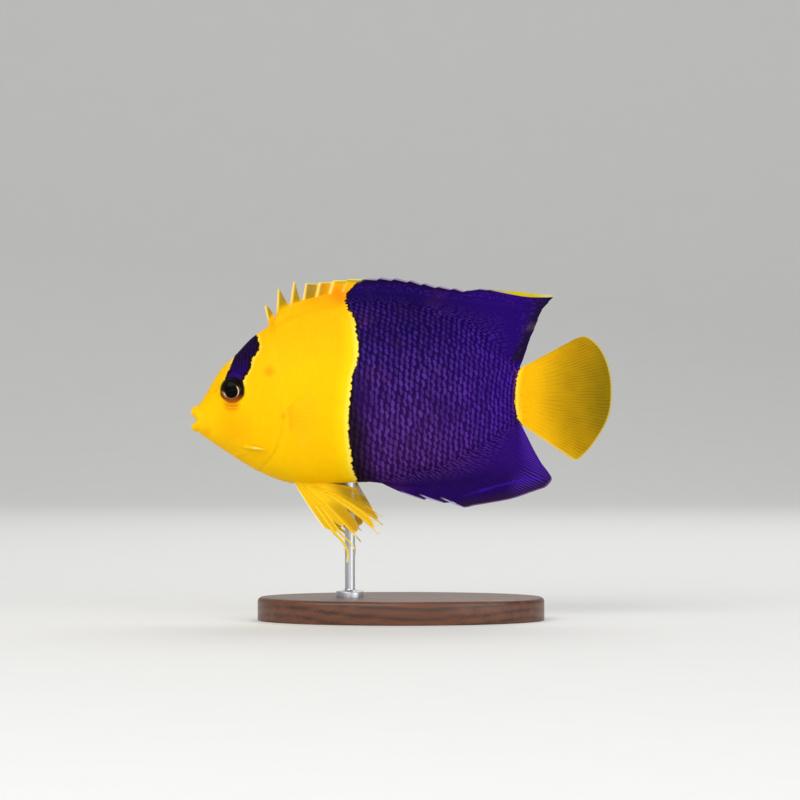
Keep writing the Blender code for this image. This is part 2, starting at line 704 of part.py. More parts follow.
def main():
    clear_scene()
    group = bpy.data.collections.new("bicolor_angelfish")
    helpers = bpy.data.collections.new("cutters")
    bpy.context.scene.collection.children.link(group)
    bpy.context.scene.collection.children.link(helpers)

    nodes, opening = part_body(group, helpers)
    add_gill_covers(nodes, opening, group, helpers)
    bore_eyes_and_nostrils(nodes["head"], helpers)
    nodes.update(build_eyes(group))
    clearance = body_loft("body_clearance", helpers, grown=CLEARANCE)
    for made in (build_dorsal(group), build_anal(group)):
        boolean(made, clearance, "DIFFERENCE")
        nodes[made.name] = made
    nodes["tail_fin"] = build_tail(group)
    for side, label in SIDES:
        for made in (build_pelvic(label, side, group), build_pectoral(label, side, group)):
            boolean(made, clearance, "DIFFERENCE")
            nodes[made.name] = made
    nodes["stand_rod"] = build_rod(group, clearance)
    nodes["stand_base"] = build_base(group)

    for item in list(helpers.objects):
        bpy.data.objects.remove(item, do_unlink=True)

    skin_yellow = material("yellow_skin", YELLOW, 0.4)
    finishes = {
        "trunk": material("purple_skin", PURPLE, 0.45),
        "tail_stem": material("purple_skin_stem", PURPLE, 0.45),
        "left_eye": material("left_eye", (0.01, 0.008, 0.01), 0.1),
        "right_eye": material("right_eye", (0.01, 0.008, 0.01), 0.1),
        "dorsal_fin": material("dorsal_fin", PURPLE, 0.45),
        "anal_fin": material("anal_fin", PURPLE, 0.45),
        "stand_base": material("stand_wood", (0.16, 0.07, 0.03), 0.45),
        "stand_rod": material("stand_metal", (0.6, 0.6, 0.6), 0.3, 1.0),
    }
    for name, item in nodes.items():
        keep_largest(item)
        finish_node(item, name, finishes.get(name, skin_yellow), group)


main()
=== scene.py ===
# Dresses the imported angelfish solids: skin, scales, fins, eyes, stand and a pale studio.
#
# Fish sizes are in millimetres, with the same axes as the solids' source: x runs back from the
# lips, y from the left flank (negative) to the right flank, and z is the height above the line
# of the body. world() turns fish points into the frame's own metres.

import math

import bmesh
import bpy
import numpy as np
from bpy.props import FloatProperty, FloatVectorProperty, IntProperty, PointerProperty
from mathutils import Matrix, Vector

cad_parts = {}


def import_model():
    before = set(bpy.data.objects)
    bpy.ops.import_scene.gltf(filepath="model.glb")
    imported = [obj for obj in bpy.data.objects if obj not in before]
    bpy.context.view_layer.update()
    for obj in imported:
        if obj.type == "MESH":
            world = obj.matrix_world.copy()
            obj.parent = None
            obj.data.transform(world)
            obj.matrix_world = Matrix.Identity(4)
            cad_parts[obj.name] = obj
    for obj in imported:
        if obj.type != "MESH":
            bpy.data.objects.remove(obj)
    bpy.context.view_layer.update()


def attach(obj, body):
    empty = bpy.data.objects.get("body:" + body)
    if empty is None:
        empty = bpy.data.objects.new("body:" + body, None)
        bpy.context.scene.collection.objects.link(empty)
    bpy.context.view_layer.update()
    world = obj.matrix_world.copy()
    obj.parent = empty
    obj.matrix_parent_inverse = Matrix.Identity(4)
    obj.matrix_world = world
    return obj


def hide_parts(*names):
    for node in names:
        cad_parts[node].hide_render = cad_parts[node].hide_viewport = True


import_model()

bl_info = {
    "name": "Bicolor angelfish display model",
    "version": (1, 0, 0),
    "blender": (4, 5, 0),
    "location": "View3D > Sidebar > Angelfish",
    "description": "Builds the skin, scales, fins, eyes and stand of a still angelfish model",
    "category": "Add Mesh",
}

MM = 0.001
TOTAL_LENGTH = 126.6
AXIS_HEIGHT = 66.0
SIDES = ((-1, "left"), (1, "right"))
BODY = "root"
DOUBLES = 1e-7
DOUBLES_OF_CUTS = 1e-6
SKIN_CREASE = math.radians(50)
FIN_CREASE = math.radians(60)
# How much wider than the eyeball its socket is, along x, y and z.
SOCKET_GAPS = (0.06, 0.1, 0.06)
# The rows of a fin's grid lie a little closer at its root.
ROWS_TO_ROOT = 1.1
# The distance to a fin's margin at which its chart fin_margin reads 1.
MARGIN_SPAN = 20.0

# The trunk's back and belly in the side view, as (x, z), and by x the half width of its sections, the
# level of their widest point, and how sharp they get towards the back and the belly.
BACK = [
    (0.9, -4.3), (1.5, -2.8), (2.7, -1.3), (4.2, 0.9), (6.0, 4.1), (9.6, 9.8), (13.2, 13.2),
    (18.6, 18.8), (22.2, 21.4), (30.0, 25.4), (39.0, 28.3), (51.0, 29.7), (63.0, 29.1),
    (75.0, 26.3), (87.0, 20.6), (94.5, 14.2), (101.0, 8.6),
]
BELLY = [
    (0.9, -7.6), (1.5, -8.8), (2.7, -9.9), (6.6, -12.7), (10.5, -15.3), (18.0, -20.1),
    (22.5, -22.4), (30.6, -25.1), (39.0, -25.5), (48.0, -25.0), (56.0, -24.4), (66.0, -22.8),
    (78.0, -19.0), (88.5, -13.2), (94.5, -9.2), (101.0, -5.6),
]
HALF_WIDTH = [
    (0.9, 1.3), (1.5, 2.2), (2.7, 3.0), (4.2, 3.7), (7.5, 5.0), (12.6, 7.2), (18.0, 8.7),
    (28.0, 10.2), (36.0, 10.6), (48.0, 10.2), (63.0, 8.8), (78.0, 6.2), (90.0, 3.5), (101.0, 2.0),
]
WIDEST_LEVEL = [(0.9, -6.0), (7.5, -5.0), (18.0, -5.2), (36.0, -4.6), (63.0, -1.5), (101.0, 1.4)]
RIDGE_ABOVE = [(0.9, 0.9), (13.0, 1.02), (24.0, 1.3), (60.0, 1.38), (101.0, 1.1)]
KEEL_BELOW = [(0.9, 0.9), (13.0, 1.05), (30.0, 1.0), (44.0, 0.95), (66.0, 1.25), (101.0, 1.1)]

# The gill opening and the rear edge of the cheek plate, as (x, z), and the levels between which the
# gill cover stands out.
GILL_OPENING = [
    (20.6, 26.0), (22.4, 20.4), (24.4, 15.0), (26.0, 9.6), (27.3, 4.2), (28.1, -1.0),
    (28.3, -6.0), (27.5, -11.0), (25.4, -15.8), (22.4, -19.6), (19.4, -22.6), (17.4, -26.0),
]
COVER_LEVELS = (-20.0, 10.0)
COVER_FRONT = [
    (20.3, -19.6), (19.1, -18.0), (18.8, -14.6), (19.3, -10.2), (20.2, -5.0), (21.0, 0.4),
    (22.0, 5.0), (23.8, 8.6),
]
# The cheek spine's line, as (x, z, distance from the flank), and its radii.
CHEEK_SPINE_ROUTE = [
    (16.4, -13.7, -0.9), (17.6, -14.0, 0.2), (19.4, -14.25, 0.75), (21.4, -14.5, 0.95), (23.4, -14.8, 0.75),
]
CHEEK_SPINE_RADII = [0.8, 0.64, 0.5, 0.36, 0.1]
TAIL_ROOT_AT = (97.3, 1.4)
TAIL_ROOT_BULGE = 0.016
EYE_AT = (13.05, 3.2)
EYE_YAW = math.radians(9.0)
# Each nostril's middle, as (x, z), and its radius.
NOSTRILS = [((8.7, 4.0), 0.42), ((7.7, 2.7), 0.34)]
# The right corner of the mouth, and the middle of each lip as (x, z, radius).
MOUTH_CORNER = (3.3, 2.9, -6.1)
UPPER_LIP_FRONT = (1.8, -3.4, 1.75)
LOWER_LIP_FRONT = (1.7, -8.1, 1.52)
# The wedge that opens the lips, as (x, z), and the hollow behind it, as its middle and its radii.
GAPE = [(-2.0, -3.2), (2.5, -6.1), (-2.0, -8.9)]
MOUTH_HOLLOW = ((0.6, 0.0, -6.1), (3.4, 2.3, 0.9))
# Where the creases round the lips are softened: the middle, the distance, and how many times.
LIP_CREASES = ((2.0, 0.0, -6.0), 5.4, 9)

# The line where the yellow of the front meets the violet of the rear, as (x, z).
COLOUR_BORDER = [
    (50.1, -24.6), (48.6, -20.4), (48.1, -17.0), (47.7, -11.6), (47.3, -5.7), (47.9, 0.6),
    (48.6, 6.4), (50.0, 12.2), (50.2, 15.3), (50.0, 19.1), (48.6, 24.9), (46.8, 28.2),
    (46.6, 31.0), (48.3, 33.6), (52.0, 36.6),
]
# Front and rear edges of the dark band from the eye up to the nape, as (x, z).
BAND_FRONT = [
    (10.4, 3.0), (10.9, 6.9), (11.5, 8.5), (12.3, 10.4), (12.75, 11.4), (13.2, 12.4), (13.4, 16.0), (13.6, 24.0),
]
BAND_REAR = [
    (16.2, 3.0), (16.8, 7.0), (17.9, 8.6), (18.3, 9.8), (18.6, 11.7), (19.7, 13.5), (20.6, 15.0), (20.8, 16.4),
    (20.0, 19.6), (19.2, 24.0),
]


def settings():
    return bpy.context.scene.angelfish


# ---------------------------------------------------------------- shapes


def world(spots):
    """Fish points, in millimetres, as points of the frame, in metres."""
    return (np.asarray(spots, float) + (-TOTAL_LENGTH / 2, 0.0, AXIS_HEIGHT)) * MM


def through(points, x):
    """The smooth curve through (x, value) points, as cubic spans with the slopes of the chords."""
    xs, ys = np.array(points, float).T
    slopes = np.gradient(ys, xs)
    x = np.clip(np.asarray(x, float), xs[0], xs[-1])
    i = np.clip(np.searchsorted(xs, x) - 1, 0, len(xs) - 2)
    span = xs[i + 1] - xs[i]
    t = (x - xs[i]) / span
    near = (1 + 2 * t) * (1 - t) ** 2 * ys[i] + t * (1 - t) ** 2 * span * slopes[i]
    far = t * t * (3 - 2 * t) * ys[i + 1] + t * t * (t - 1) * span * slopes[i + 1]
    return near + far


def along(points, shares):
    """Points at shares of the length of a smooth line through points of any dimension."""
    spots = np.array(points, float)
    steps = np.linalg.norm(np.diff(spots, axis=0), axis=1)
    reach = np.concatenate([[0.0], np.cumsum(steps)]) / steps.sum()
    return np.stack([through(list(zip(reach, column)), shares) for column in spots.T], axis=-1)


def eased(value, low, high):
    """0 below low, 1 above high, and a smooth rise between."""
    t = np.clip((np.asarray(value, float) - low) / (high - low), 0, 1)
    return t * t * (3 - 2 * t)


def hump(value, centre, width):
    return np.exp(-(((value - centre) / width) ** 2))


def body_point(x, turn, grown=0.0):
    """Points of the smooth trunk: turn runs from the back (0) over the right flank to the belly (pi)."""
    top, bottom = through(BACK, x) + grown, through(BELLY, x) - grown
    widest = through(WIDEST_LEVEL, x)
    half = np.maximum(through(HALF_WIDTH, x) + grown, 0.4)
    up, out = np.cos(turn), np.sin(turn)
    reach = np.where(up > 0, top - widest, widest - bottom)
    power = np.where(up > 0, through(RIDGE_ABOVE, x), through(KEEL_BELOW, x))
    y = half * np.sign(out) * np.abs(out) ** power
    return np.stack(np.broadcast_arrays(x, y, widest + reach * up), axis=-1)


def turn_at(x, z):
    """The turn, on the right flank, at which the trunk has height z at x."""
    widest = through(WIDEST_LEVEL, x)
    reach = np.where(z > widest, through(BACK, x) - widest, widest - through(BELLY, x))
    return np.arccos(np.clip((z - widest) / reach, -1, 1))


def flank(x, z):
    """Half of the trunk's width at x and height z."""
    return np.abs(body_point(x, turn_at(x, z))[..., 1])


def tail_root_x(z):
    """The curve on which the tail fin grows from its stem."""
    return TAIL_ROOT_AT[0] + TAIL_ROOT_BULGE * (z - TAIL_ROOT_AT[1]) ** 2


def line_x(line, z):
    """x of a line that is given as (x, z), at heights z."""
    ordered = sorted((b, a) for a, b in line)
    return through(ordered, z)


def head_relief(x, z):
    """How far the skin of the head stands out from the smooth trunk, over the side view."""
    low, high = COVER_LEVELS
    inside = eased(z, low - 1.5, low + 2.5) * (1 - eased(z, high - 2.5, high + 2.0))
    opening = line_x(GILL_OPENING, z)
    behind = x - opening
    cover = 0.34 * eased(x, 20.5, 26.5) * (1 - eased(behind, -0.6, 0.35)) * inside
    slit = -0.2 * hump(behind, 0.3, 0.55) * eased(z, -25.0, -21.0) * (1 - eased(z, 9.0, 15.0))
    plate = x - line_x(COVER_FRONT, z)
    plate_level = eased(z, -18.5, -14.5) * (1 - eased(z, 3.0, 8.5))
    notches = 0.75 + 0.25 * np.cos(z * 2 * math.pi / 0.9)
    plate_edge = (0.16 * hump(plate, -0.75, 0.75) * notches - 0.2 * hump(plate, 0.1, 0.35)) * plate_level
    lower_edge = z - (-15.9 - 0.32 * (18.8 - x))
    under = 0.12 * hump(lower_edge, 0.9, 0.7) - 0.14 * hump(lower_edge, 0.0, 0.35)
    under *= eased(x, 7.0, 11.0) * (1 - eased(x, 17.0, 19.0))
    to_eye = np.hypot(x - EYE_AT[0], z - EYE_AT[1])
    orbit = 0.3 * hump(to_eye, 3.95, 0.55) - 0.12 * hump(to_eye, 4.95, 0.4)
    below = eased(-(z - EYE_AT[1]), 1.0, 3.0)
    folds = 0.1 * hump(to_eye, 5.5, 0.25) - 0.08 * hump(to_eye, 5.9, 0.2) + 0.06 * hump(to_eye, 6.3, 0.25)
    muzzle = -0.22 * hump(x - 4.35 - 0.12 * (z + 5.9) ** 2 * 0.2, 0.0, 0.5) * hump(z, -5.6, 3.6)
    pores = 0.0
    for (nx, nz), radius in NOSTRILS:
        away = np.hypot(x - nx, z - nz)
        pores = pores + 0.16 * hump(away, 1.55 * radius, 0.5 * radius) - 0.75 * hump(away, 0.0, 0.8 * radius)
    return cover + slit + plate_edge + under + orbit + below * folds + muzzle + pores


def linked(name, data):
    item = bpy.data.objects.new(name, data)
    bpy.context.scene.collection.objects.link(item)
    return item


def finished(bm, name):
    """Turns a bmesh into a finished object, with its doubles merged and its faces outwards."""
    bmesh.ops.remove_doubles(bm, verts=bm.verts, dist=DOUBLES)
    bmesh.ops.recalc_face_normals(bm, faces=bm.faces)
    mesh = bpy.data.meshes.new(name)
    bm.to_mesh(mesh)
    bm.free()
    mesh.shade_smooth()
    return linked(name, mesh)


class Reshaped:
    """A mesh as a bmesh to work on, written back at the end."""

    def __init__(self, mesh):
        self.mesh = mesh

    def __enter__(self):
        self.bm = bmesh.new()
        self.bm.from_mesh(self.mesh)
        return self.bm

    def __exit__(self, *_):
        self.bm.to_mesh(self.mesh)
        self.bm.free()


def coordinates(bm):
    return np.array([v.co for v in bm.verts], float)


def place(bm, spots):
    for vert, spot in zip(bm.verts, spots):
        vert.co = spot


def evaluated(item):
    """The mesh of a piece with its modifiers, or of a curve."""
    return bpy.data.meshes.new_from_object(item.evaluated_get(bpy.context.evaluated_depsgraph_get()))


def apply_modifiers(item):
    mesh = evaluated(item)
    item.modifiers.clear()
    item.data = mesh


def boolean(item, other, operation):
    cut = item.modifiers.new("cut", "BOOLEAN")
    cut.operation = operation
    cut.solver = "EXACT"
    cut.object = other
    apply_modifiers(item)
    bpy.data.objects.remove(other, do_unlink=True)


def tube(name, points, radii, around=14):
    """A round closed bar along points, with a radius at each."""
    curve = bpy.data.curves.new(name, "CURVE")
    curve.dimensions = "3D"
    curve.bevel_depth = MM
    curve.bevel_resolution = around // 2
    curve.use_fill_caps = True
    line = curve.splines.new("POLY")
    line.points.add(len(points) - 1)
    for spot, point, radius in zip(line.points, world(points), radii):
        spot.co = (*point, 1.0)
        spot.radius = radius
    bar = linked(name, curve)
    mesh = evaluated(bar)
    bpy.data.objects.remove(bar, do_unlink=True)
    bm = bmesh.new()
    bm.from_mesh(mesh)
    return finished(bm, name)


def ball(name, centre, radii, segments=48, rings=32, yaw=0.0):
    bm = bmesh.new()
    bmesh.ops.create_uvsphere(bm, u_segments=segments, v_segments=rings, radius=MM)
    lie = Matrix.Rotation(yaw, 4, "Z") @ Matrix.Diagonal((*radii, 1))
    poles_out = Matrix.Rotation(math.pi / 2, 4, "X")
    bmesh.ops.transform(bm, matrix=Matrix.Translation(world(centre)) @ lie @ poles_out, verts=bm.verts)
    return finished(bm, name)


def prism(name, outline, half_depth):
    """A flat outline in the side view, made solid to both sides."""
    bm = bmesh.new()
    face = bm.faces.new([bm.verts.new(world((x, -half_depth, z))) for x, z in outline])
    draw_out(bm, bmesh.ops.extrude_face_region(bm, geom=[face]), (0, 2 * half_depth * MM, 0))
    return finished(bm, name)


def draw_out(bm, made, way):
    """Moves the points that an extrusion made."""
    moved = [v for v in made["geom"] if isinstance(v, bmesh.types.BMVert)]
    bmesh.ops.translate(bm, verts=moved, vec=way)


def profile_edges(bm, spots):
    """An open line through spots, as its points and its edges."""
    verts = [bm.verts.new(spot) for spot in spots]
    return verts, [bm.edges.new(pair) for pair in zip(verts, verts[1:])]


def dress(item, finish):
    item.data.materials.clear()
    item.data.materials.append(finish)


def settle(item, finish, slot, *nodes):
    """Gives a piece its finish and rides it on the model, in place of the nodes that it stands for."""
    dress(item, finish)
    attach(item, BODY)
    if nodes:
        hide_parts(*nodes)
    return item


# ---------------------------------------------------------------- finishes


def linear(colour):
    """A colour given in display units, 0 to 255, as the shader's linear light."""
    share = np.asarray(colour, float) / 255
    lit = np.where(share <= 0.04045, share / 12.92, ((share + 0.055) / 1.055) ** 2.4)
    return tuple(float(c) for c in lit)


class Signal:
    """A shader socket that takes part in sums: an expression on signals adds its Math nodes."""

    def __init__(self, finish, socket):
        self.finish = finish
        self.socket = socket

    def __add__(self, other):
        return self.finish.math("ADD", self, other)

    def __sub__(self, other):
        return self.finish.math("SUBTRACT", self, other)

    def __rsub__(self, other):
        return self.finish.math("SUBTRACT", other, self)

    def __mul__(self, other):
        return self.finish.math("MULTIPLY", self, other)

    def __truediv__(self, other):
        return self.finish.math("DIVIDE", self, other)

    def __pow__(self, other):
        return self.finish.math("POWER", self, other)

    def __neg__(self):
        return self.finish.math("MULTIPLY", self, -1.0)

    def __abs__(self):
        return self.finish.math("ABSOLUTE", self)

    __radd__ = __add__
    __rmul__ = __mul__


class Finish:
    """A material with one Principled shader, and the few ways in which its nodes are made."""

    def __init__(self, name, **constants):
        self.material = bpy.data.materials.new(name)
        self.material.use_nodes = True
        self.tree = self.material.node_tree
        self.shader = self.tree.nodes["Principled BSDF"]
        for socket, value in constants.items():
            self.shader.inputs[socket.replace("_", " ")].default_value = value

    def node(self, kind, settings=None, inputs=None, output=0):
        made = self.tree.nodes.new("ShaderNode" + kind)
        for key, value in (settings or {}).items():
            if key == "points":
                curve = made.mapping.curves[0]
                for x, y in value[1:-1]:
                    curve.points.new(x, y)
                curve.points[0].location = value[0]
                curve.points[-1].location = value[-1]
                made.mapping.update()
            else:
                setattr(made, key, value)
        for key, value in (inputs or {}).items():
            self.join(value, made.inputs[key])
        return Signal(self, made.outputs[output])

    def join(self, value, socket):
        if isinstance(value, Signal):
            self.tree.links.new(value.socket, socket)
        elif isinstance(value, tuple) and len(value) == 3 and socket.type == "RGBA":
            socket.default_value = (*value, 1.0)
        else:
            socket.default_value = value

    def math(self, operation, *values):
        return self.node("Math", {"operation": operation}, dict(enumerate(values)))

    def step(self, value, low, high):
        """A smooth rise from 0 at low to 1 at high, or a fall where high is the lower one."""
        if high < low:
            return 1 - self.step(value, high, low)
        return self.node(
            "MapRange", {"interpolation_type": "SMOOTHSTEP"}, {"Value": value, "From Min": low, "From Max": high}
        )

    def between(self, value, first, last, ease):
        return self.step(value, first - ease, first + ease) * self.step(value, last + ease, last - ease)

    def spot(self, x, z, centre, radius):
        """A round soft spot over the side view, 1 at its centre."""
        away = ((x - centre[0]) ** 2.0 + (z - centre[1]) ** 2.0) ** 0.5
        return self.step(away, radius, 0.0)

    def curve(self, value, line, inputs, outputs):
        """A line of (input, output) points over fixed ranges of both."""
        (low, high), (first, last) = inputs, outputs
        points = sorted(((a - low) / (high - low), (b - first) / (last - first)) for a, b in line)
        share = self.node("MapRange", {}, {"Value": value, "From Min": low, "From Max": high})
        drawn = self.node("FloatCurve", {"points": points}, {"Value": share})
        return drawn * (last - first) + first

    def mix(self, share, first, second):
        """A colour between two, with the colour sockets of the node: 6 and 7 in, 2 out."""
        return self.node("Mix", {"data_type": "RGBA", "clamp_factor": True}, {0: share, 6: first, 7: second}, 2)

    def layers(self, colour, *coats):
        """A colour under coats of paint, each given as its share and its display colour."""
        for share, paint in coats:
            colour = self.mix(share, colour, linear(paint))
        return colour

    def tint(self, colour, share):
        """A colour made lighter or darker by a number."""
        return self.node("VectorMath", {"operation": "SCALE"}, {0: colour, "Scale": share})

    def noise(self, where, scale, detail=3.0, rough=0.55, stretch=None):
        if stretch:
            where = self.node("Mapping", {}, {"Vector": where, "Scale": stretch})
        return self.node(
            "TexNoise", {"noise_dimensions": "3D"},
            {"Vector": where, "Scale": scale, "Detail": detail, "Roughness": rough},
        )

    def grain(self, where):
        """The coarse unevenness that skin, scales and fins share."""
        return self.noise(where, 130.0, 4.0)

    def ripple(self, phase):
        """A wave between 0 and 1."""
        return self.math("SINE", phase) * 0.5 + 0.5

    def object_place(self):
        return self.node("TexCoord", output=3)

    def parts(self, where, count=3):
        return [self.node("SeparateXYZ", {}, {0: where}, k) for k in range(count)]

    def fish_place(self, where):
        """x, y and z in fish millimetres at a place in the frame's metres."""
        x, y, z = (part * 1000.0 for part in self.parts(where))
        return x + TOTAL_LENGTH / 2, y, z - AXIS_HEIGHT

    def chart(self, name):
        """The two numbers of one of the piece's own UV maps."""
        return self.parts(self.node("UVMap", {"uv_map": name}), 2)

    def bump(self, height, micrometres, strength=1.0):
        """The relief of a height between 0 and 1, with its depth in micrometres."""
        return self.node("Bump", {}, {"Height": height, "Distance": micrometres / 1e6, "Strength": strength})

    def set(self, **sockets):
        for name, value in sockets.items():
            self.join(value, self.shader.inputs[name.replace("_", " ")])
        return self.material


def behind_line(finish, line, x, z):
    """How far x, z lies behind a line that runs up the side view and is given as (x, z)."""
    turned = [(level, at) for at, level in line]
    return x - finish.curve(z, turned, (-26.0, 38.0), (0.0, 60.0))


def behind_dorsal(x, z):
    """How far x, z lies behind the slanting rear edge of the dorsal fin's root."""
    return x - (z - 13.2) * 0.633 - 97.8


# Warmer spots on the yellow part, and one spot of painted shade at the gill opening, as (centre, radius, share,
# display colour).
WARM_SPOTS_AND_GILL_SHADE = (
    ((14.0, -8.0), 9.0, 0.7, (253, 180, 1)),
    ((24.1, 8.5), 2.5, 0.9, (255, 160, 0)),
    # Painted shade: a darker orange spot at the edge of the gill cover, just ahead of the pectoral fin's root.
    ((28.3, -4.9), 1.5, 0.6, (250, 160, 2)),
    ((5.2, -9.4), 2.4, 0.6, (249, 165, 5)),
    ((44.8, 31.6), 4.2, 0.9, (246, 132, 4)),
    ((13.0, -1.9), 3.2, 0.7, (240, 140, 6)),
)


def yellow_part(finish, x, z, grain, behind, to_eye):
    """The yellow of the front, paler before the border, with painted shade in the creases of the folds under the
    eye and a painted highlight on the front of the lips.
    """
    strip = finish.step(behind, -5.2, -0.9) * (0.66 - finish.step(z, 20.0, 27.0) * 0.5)
    pale_line = finish.step(behind, -1.5, -0.3) * (0.7 - finish.step(z, 20.0, 27.0) * 0.6)
    warm = finish.step(z, 25.5, 31.0) * finish.between(x, 33.0, 49.0, 5.0)
    # Painted shade: darker orange rings that lie in the grooves of the folds under the eye and fade on their
    # crests.
    folds = finish.between(to_eye, 3.9, 6.4, 0.3) * finish.step(z, 0.4, -0.9) * finish.step(to_eye, 7.6, 3.6)
    folds = folds * finish.step(abs(x - EYE_AT[0] + 0.2), 3.2, 1.2)
    folds = folds * (finish.math("SINE", to_eye * 6.3 + 1.6) * 0.4 + 0.55)
    return finish.layers(
        tuple(settings().colours.yellow),
        (finish.step(z, 6.0, 30.0), (252, 184, 3)),
        (strip, (255, 224, 12)),
        (pale_line, (255, 238, 90)),
        (warm * 0.85, (250, 160, 4)),
        *((finish.spot(x, z, centre, radius) * share, paint) for centre, radius, share, paint in WARM_SPOTS_AND_GILL_SHADE),
        # Painted shade in the creases of the folds under the eye.
        (folds, (196, 98, 2)),
        # Painted highlight: the front of the lips, on the head's outline, is paler as if rim-lit.
        (finish.step(x, 1.3, 0.2) * 0.5, (255, 236, 170)),
        ((grain - 0.5) * 0.5 + 0.1, (250, 186, 4)),
    )


def violet_part(finish, x, z, grain, behind):
    """The violet of the rear, dark behind the border, reddish and dark at the roots of tail and dorsal fin."""
    rear = finish.step(x, 66.0, 96.0)
    fringe = finish.step(behind / (finish.step(z, 4.0, -12.0) * 7.5 + 2.2), 1.0, 0.05)
    red = finish.between(tail_arc(x, z), -0.7, 0.4, 0.25) * finish.between(z, -7.0, 9.5, 0.8)
    hem = finish.step(-behind_dorsal(x, z) / (1.2 + finish.math("MAXIMUM", z - 13.0, 0.0) * 0.38), 1.1, 0.2)
    hem = hem * finish.step(x, 92.0, 98.0) * finish.step(z, 10.0, 13.0)
    return finish.layers(
        linear((32, 3, 86)),
        (finish.step(z, 14.0, -18.0), (56, 18, 92)),
        (finish.step(z, 8.0, 24.0), (22, 0, 76)),
        (rear * 0.8, (36, 0, 106)),
        (finish.step(z, -17.0, -25.0) * finish.step(x, 58.0, 70.0), (30, 3, 80)),
        (finish.step(grain, 0.5, 0.75) * 0.3 * (1 - rear), (66, 26, 76)),
        (fringe * 0.95, (25, 10, 20)),
        (red * 0.6, (74, 18, 16)),
        (hem * 0.92, (24, 10, 26)),
    )


def fish_colours(finish, x, z, grain, edge=None, tail=True):
    """The markings that skin, scales and fins share, with painted highlights and painted shade on the head: the
    colour at x, z and how violet it is.

    edge is the place that says on which side of a border a point lies, where that isn't x, z.
    """
    edge_x, edge_z = edge or (x, z)
    edge_x = edge_x + (finish.noise(finish.object_place(), 1000.0, 2.0) - 0.5) * 1.2
    behind = behind_line(finish, COLOUR_BORDER, x, z)
    violet = finish.step(behind_line(finish, COLOUR_BORDER, edge_x, edge_z), -0.16, 0.16)
    to_eye = ((x - EYE_AT[0]) ** 2.0 + (z - EYE_AT[1]) ** 2.0) ** 0.5

    front = behind_line(finish, BAND_FRONT, edge_x, edge_z)
    back = behind_line(finish, BAND_REAR, edge_x, edge_z)
    level = finish.step(z, 3.0, 5.0)
    band = finish.step(front, -0.15, 0.15) * finish.step(back, 0.15, -0.15) * level
    inside = finish.step(front, 0.4, 1.2) * finish.step(back, -0.5, -1.2)
    tone = finish.mix(finish.step(z, 13.5, 7.5) * 0.8, tuple(settings().colours.band), linear((42, 2, 108)))
    dark = finish.mix(inside, linear((22, 7, 16)), tone)

    yellow = finish.layers(
        yellow_part(finish, x, z, grain, behind, to_eye),
        (finish.between(back, 0.15, 0.75, 0.2) * level * 0.5, (255, 226, 90)),
        # Painted highlight: a pale cream streak along the forehead's edge, just in front of the band.
        (finish.between(front, -0.7, -0.1, 0.25) * finish.step(z, 8.0, 12.0) * 0.6, (246, 224, 160)),
    )
    colour = finish.mix(violet, yellow, violet_part(finish, x, z, grain, behind))
    colour = finish.mix(band, colour, dark)
    rim = finish.step(to_eye + finish.step(z, 1.0, 3.0) * 0.35, 4.4, 3.7)
    socket = finish.mix(finish.step(z, 2.0, -0.2), linear((26, 12, 6)), linear((150, 72, 3)))
    colour = finish.mix(rim, colour, socket)
    violet = finish.math("MAXIMUM", violet, band)
    if not tail:
        return colour, violet
    behind_arc = finish.step(tail_arc(edge_x, edge_z), -0.1, 0.2) * finish.step(x, 94.0, 95.0)
    level = abs(z - TAIL_ROOT_AT[1]) - 6.95 - finish.math("MAXIMUM", x - 98.3, 0.0) * 1.3
    behind_arc = behind_arc * finish.step(level, 0.3, -0.3)
    return finish.mix(behind_arc, colour, tail_yellow(finish, tail_arc(x, z))), violet * (1 - behind_arc)


def tail_yellow(finish, arc):
    """The tail's own colour, which darkens from its root to its edge."""
    return finish.layers(
        linear((255, 222, 60)),
        (finish.step(arc, 0.2, 2.2), (252, 186, 2)),
        (finish.step(arc, 3.0, 11.0), (224, 168, 4)),
        (finish.step(arc, 7.0, 18.0), (176, 136, 3)),
        (finish.step(arc, 17.0, 27.0), (136, 112, 2)),
    )


def tail_arc(x, z):
    """How far a point lies behind the arc where the violet stem meets the tail fin."""
    away = z - TAIL_ROOT_AT[1]
    return x - TAIL_ROOT_AT[0] - away * away * TAIL_ROOT_BULGE


def skin_finish():
    finish = Finish("fish_skin", Specular_IOR_Level=0.06)
    where = finish.object_place()
    x, _, z = finish.fish_place(where)
    grain = finish.grain(where)
    colour, violet = fish_colours(finish, x, z, grain)
    fine = finish.noise(where, 2600.0, 2.0)
    cells = finish.node("TexVoronoi", {"feature": "DISTANCE_TO_EDGE"}, {"Vector": where, "Scale": 1500.0})
    height = fine * 0.5 + finish.step(cells, 0.0, 0.12) * 0.5
    return finish.set(
        Base_Color=colour, Roughness=0.36 + fine * 0.16 + violet * 0.1, Normal=finish.bump(height, 60, 0.5)
    )


